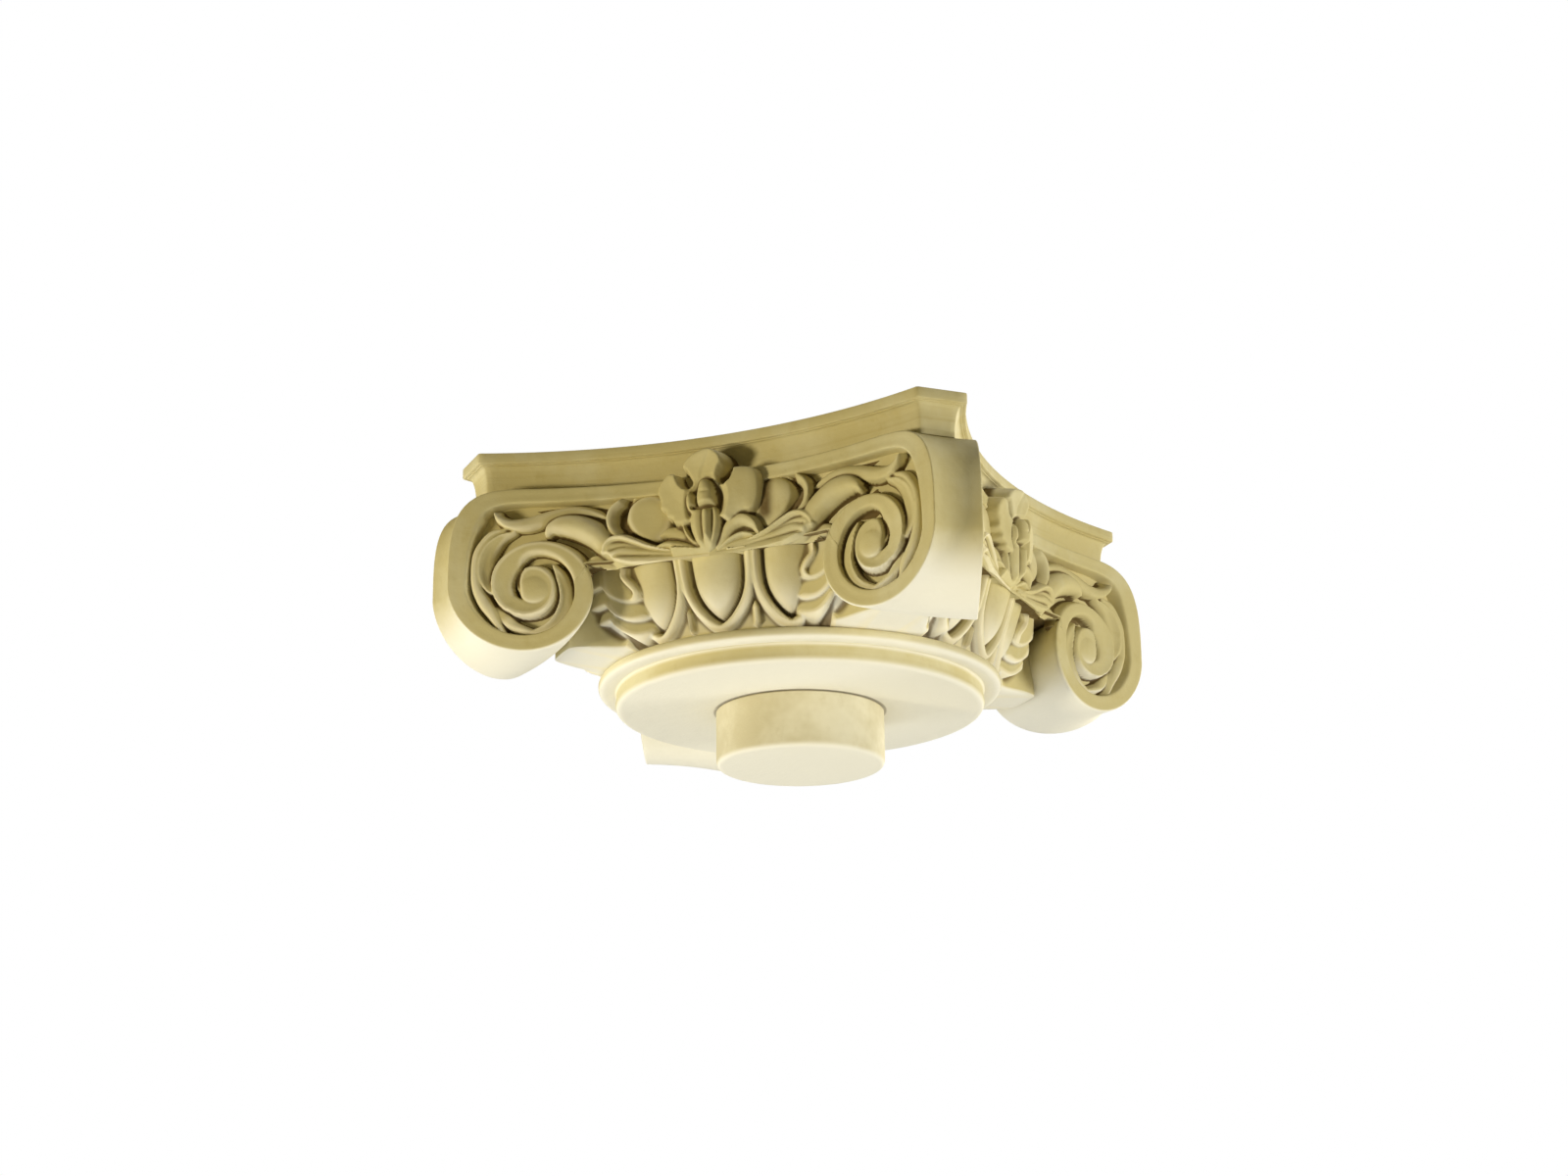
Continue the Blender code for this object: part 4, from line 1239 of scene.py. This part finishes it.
@dataclass
class Abacus:
    """The abacus: a fillet over a hollow moulding, hollow in plan, its corners cut."""

    half_width: float = 200.0
    hollow: float = 35.8
    corner_cut: float = 27.5
    bed: float = 179.5
    top: float = 211.0
    fillet: float = 8.2
    fillet_step: float = 3.0
    slope: float = 9.0
    side_steps: int = 72
    edge: float = 1.0

    def _ring(self, inset: float, z: float) -> np.ndarray:
        """Lays out the plan, moved in by an inset."""
        chord = self.half_width - self.corner_cut
        radius = (chord ** 2 + self.hollow ** 2) / (2 * self.hollow)
        centre = self.half_width - self.hollow + radius
        reach = ((chord + self.half_width) / math.sqrt(2) - inset) / math.sqrt(2)
        slack = reach ** 2 + (centre - reach) ** 2 - (radius + inset) ** 2
        shift = (centre - math.sqrt(centre ** 2 - 2 * slack)) / 2
        end = math.asin((reach - shift) / (radius + inset))
        angles = np.linspace(-end, end, self.side_steps)
        side = np.stack([(radius + inset) * np.sin(angles),
                         (radius + inset) * np.cos(angles) - centre], 1)
        last, following = side[-1].copy(), np.array((-side[0, 1], side[0, 0]))
        cut = last + (following - last) * np.linspace(0, 1, 14)[1:-1, None]
        side[0] += direction(side[0], side[1]) * self.edge
        side[-1] += direction(side[-1], side[-2]) * self.edge
        cut[0] = last + direction(last, following) * self.edge
        cut[-1] = following - direction(last, following) * self.edge
        rows = [np.vstack([side, cut])]
        for _ in range(3):
            rows.append(np.stack([-rows[-1][:, 1], rows[-1][:, 0]], 1))
        ring = np.vstack(rows)
        return np.column_stack([ring, np.full(len(ring), z)]) * MM

    def build(self) -> Object:
        """Models the closed abacus from its bed to its top, ring by ring."""
        step = self.top - self.fillet
        levels = [(self.slope + 14, self.bed), (self.slope, self.bed)]
        shoulder = self.fillet_step + 1.0
        for turn in np.linspace(math.pi / 2, 0, 15):
            levels.append((shoulder + (self.slope - shoulder) * math.sin(turn),
                           step - 0.8 - (step - 2.3 - self.bed) * (1 - math.cos(turn))))
        levels += [(self.fillet_step, step - 0.7), (self.fillet_step - 0.2, step - 0.2),
                   (0.6, step), (0.15, step + 0.35), (0, step + 1.0), (0, self.top - 1.0),
                   (0.3, self.top - 0.3), (1.0, self.top), (5.0, self.top)]
        piece = swept_rings("abacus", [self._ring(inset, z) for inset, z in levels])
        outward(piece, 40)
        return piece


@dataclass
class TurnedFoot:
    """The ring and neck under the bell, and the spigot below them."""

    steps: int = 256
    ring_radius: float = 152.5
    ring_low: float = 57.0
    ring_high: float = 66.0
    neck_radius: float = 140.0
    neck_low: float = 43.0
    spigot_radius: float = 63.5
    spigot_top: float = 42.7
    joint_line_and_shade_width: float = 1.3

    def _turn(self, name: str, profile: Sequence[Spot], share: float,
              *joints: Spot) -> Object:
        """Turns a piece and darkens it where it meets its neighbours: painted shade in the corners
        of the casting, a dark joint line where the spigot meets it.

        Args:
            name: The piece's name.
            profile: Radius and height of its points, in millimetres.
            share: How dark the darkening is, up to 1.
            joints: Radius and height of every joint, in millimetres.

        Returns:
            The closed, turned piece.
        """
        piece = turned(name, [(r * MM, z * MM) for r, z in profile], self.steps)
        spots = points_of(piece) / MM
        radius = np.hypot(spots[:, 0], spots[:, 1])
        sunk = np.zeros(len(spots))
        for joint in joints:
            far = np.hypot(radius - joint[0], spots[:, 2] - joint[1])
            sunk = np.maximum(sunk, np.clip(1.3 - far / self.joint_line_and_shade_width, 0, 1) * share)
        set_values(piece, "hollow", sunk)
        outward(piece, 40)
        return piece

    def build_ring(self) -> Object:
        """Models the overhanging ring with its rounded edge, up under the eggs."""
        out, low, high = self.ring_radius, self.ring_low, self.ring_high
        mid = (low + high) / 2
        profile = [(0, high + 4),
                   *round_corner((140, high + 4), (142, high + 1.5), (146, high + 0.6)),
                   *round_corner((out - 6, high), (out, high), (out, mid), 9),
                   *round_corner((out, mid), (out, low), (out - 6, low), 9)[1:],
                   (142, low + 0.2), (139, low + 0.2), (0, low + 0.2)]
        # Painted shade in the corners under and over the ring.
        return self._turn("ring", profile, 0.3, (139.5, low), (145, high + 1))

    def build_neck(self) -> Object:
        """Models the neck with its softened lower edge."""
        out, low, high = self.neck_radius, self.neck_low, self.ring_low
        profile = [(0, high + 1.5), (out, high + 1.5),
                   *round_corner((out, high), (out - 1.5, high - 1), (out - 1.5, high - 3), 4),
                   *round_corner((out - 0.5, low + 5), (out - 0.5, low), (out - 6, low), 8),
                   (70, low), (66.5, low), (64.8, low), (0, low)]
        return self._turn("neck", profile, 0.5, (64.4, low))

    def build_spigot(self) -> Object:
        """Models the spigot with its worn lower edge."""
        out, top = self.spigot_radius, self.spigot_top
        profile = [(0, top), (out - 0.6, top), (out, top - 0.6), (out, top - 2), (out, top - 18),
                   *round_corner((out, 4.5), (out - 0.2, 0.2), (out - 5, 0), 8), (30, 0), (0, 0)]
        return self._turn("spigot", profile, 0.5, (out, top - 0.2))


@dataclass
class Studio:
    """Pale floor, soft lights and the camera."""

    floor_level: float = -1.7
    floor_radius: float = 4.0
    floor_depth: float = 0.05
    azimuth: float = 22.285
    elevation: float = -17.34
    roll: float = -0.636
    distance: float = 2.6424
    lens: float = 79.965
    aim: Spot = (-0.011875, 0.068009)
    pivot: float = 0.07
    lit_height: float = 0.12
    ambient: float = 0.12
    ambient_colour: Colour = (1.0, 0.86, 0.44)
    lights: tuple[tuple[str, Colour, float, float, Colour], ...] = (
        ("key", (-1.35, -1.95, -0.50), 0.36, 33, (1.0, 0.89, 0.60)),
        ("left", (-2.3, 0.15, -0.6), 0.9, 22, (0.95, 0.98, 1.0)),
        ("right", (2.3, 0.10, -0.5), 0.9, 39, (1.0, 0.96, 0.82)),
        ("under", (-0.1, -0.20, -1.4), 1.4, 6, (0.85, 0.92, 1.0)),
        ("top", (0.3, 0.4, 2.2), 1.4, 15, (1.0, 0.98, 0.94)),
        ("back", (0.6, 2.3, 0.3), 0.9, 30, (1.0, 0.95, 0.80)))

    def build(self) -> None:
        """Sets the floor, the lights and the camera."""
        self._floor()
        self._lights()
        self._camera()

    def _floor(self) -> None:
        """Lays the round floor, low enough for the camera to look up at the capital."""
        level, under = self.floor_level, self.floor_level - self.floor_depth
        floor = turned("floor", [(0, level), (self.floor_radius, level),
                                 (self.floor_radius, under), (0, under)], 96)
        pick(floor)
        bpy.ops.object.shade_smooth()
        nodes = Nodes("pale_floor")
        nodes.feed(nodes.shader.inputs["Roughness"], 0.9)
        nodes.feed(nodes.shader.inputs["Base Color"],
                   nodes.mix(nodes.noise(nodes.place, 3.0, 2.0, 0.5), (0.90, 0.90, 0.89),
                             (0.93, 0.93, 0.92)))
        floor.data.materials.append(nodes.material)

    def _lights(self) -> None:
        """Sets the square soft lights, all aimed at the capital, and the world."""
        for name, place, size, power, colour in self.lights:
            data = bpy.data.lights.new(name, "AREA")
            data.size = size
            data.energy = power
            data.color = colour
            light = bpy.data.objects.new(name, data)
            light.location = place
            aim = Vector((0, 0, self.lit_height)) - Vector(place)
            light.rotation_mode = "QUATERNION"
            light.rotation_quaternion = aim.to_track_quat("-Z", "Y")
            bpy.context.scene.collection.objects.link(light)
        world = bpy.data.worlds.new("studio")
        world.use_nodes = True
        tree = world.node_tree
        lit = tree.nodes["Background"]
        lit.inputs["Color"].default_value = (*self.ambient_colour, 1.0)
        lit.inputs["Strength"].default_value = self.ambient
        seen = tree.nodes.new("ShaderNodeBackground")
        seen.inputs["Color"].default_value = (1.0, 1.0, 1.0, 1.0)
        choose = tree.nodes.new("ShaderNodeMixShader")
        camera_ray = tree.nodes.new("ShaderNodeLightPath").outputs["Is Camera Ray"]
        for source, socket in zip((camera_ray, lit.outputs[0], seen.outputs[0]), choose.inputs):
            tree.links.new(source, socket)
        tree.links.new(choose.outputs[0], tree.nodes["World Output"].inputs["Surface"])
        bpy.context.scene.world = world
        bpy.context.scene.view_settings.view_transform = "Standard"

    def _camera(self) -> None:
        """Sets the camera where the photograph was taken from."""
        azimuth, elevation = math.radians(self.azimuth), math.radians(self.elevation)
        roll = math.radians(self.roll)
        back = Vector((math.sin(azimuth) * math.cos(elevation),
                       -math.cos(azimuth) * math.cos(elevation), math.sin(elevation)))
        right = (-back).cross(Vector((0, 0, 1))).normalized()
        up = right.cross(-back)
        across = right * math.cos(roll) + up * math.sin(roll)
        above = up * math.cos(roll) - right * math.sin(roll)
        target = Vector((0, 0, self.pivot)) + across * self.aim[0] + above * self.aim[1]
        data = bpy.data.cameras.new("camera")
        data.sensor_width = 36.0
        data.lens = self.lens
        data.clip_end = 50.0
        camera = bpy.data.objects.new("camera", data)
        camera.matrix_world = Matrix.Translation(target + back * self.distance) @ Matrix(
            (across, above, back)).transposed().to_4x4()
        bpy.context.scene.collection.objects.link(camera)
        bpy.context.scene.camera = camera


def main() -> None:
    """Builds the capital's pieces in order, dresses them and sets the studio."""
    logging.basicConfig(level=logging.INFO, format="%(message)s")
    finish = CastPlaster()
    plaster = finish.build()
    spigot_finish = CastPlaster(name="spigot_plaster", slot="spigot_plaster",
                                body=(0.60, 0.545, 0.365), pale=(0.76, 0.72, 0.56),
                                stain=(0.52, 0.45, 0.26))
    spigot_plaster = spigot_finish.build()

    corners = copy_round(Corner().build(), ("corner_front_right", "corner_back_right",
                                            "corner_back_left", "corner_front_left"))
    flowers = copy_round(Flower().build(), ("flower_front", "flower_right",
                                            "flower_back", "flower_left"))
    foot = TurnedFoot()
    for piece in (*corners, *flowers, EggRow().build()):
        dress(piece, finish, plaster, Node.CAPITAL)
    dress(Abacus().build(), finish, plaster, Node.CAPITAL, drawn=0.30)
    dress(foot.build_ring(), finish, plaster, Node.CAPITAL, bare_and_lit=0.22, drawn=0.2)
    dress(foot.build_neck(), finish, plaster, Node.CAPITAL, bare_and_lit=0.05, drawn=0.2)
    dress(foot.build_spigot(), spigot_finish, spigot_plaster, Node.SPIGOT, bare_and_lit=0.05)
    Studio().build()


if __name__ == "__main__":
    main()
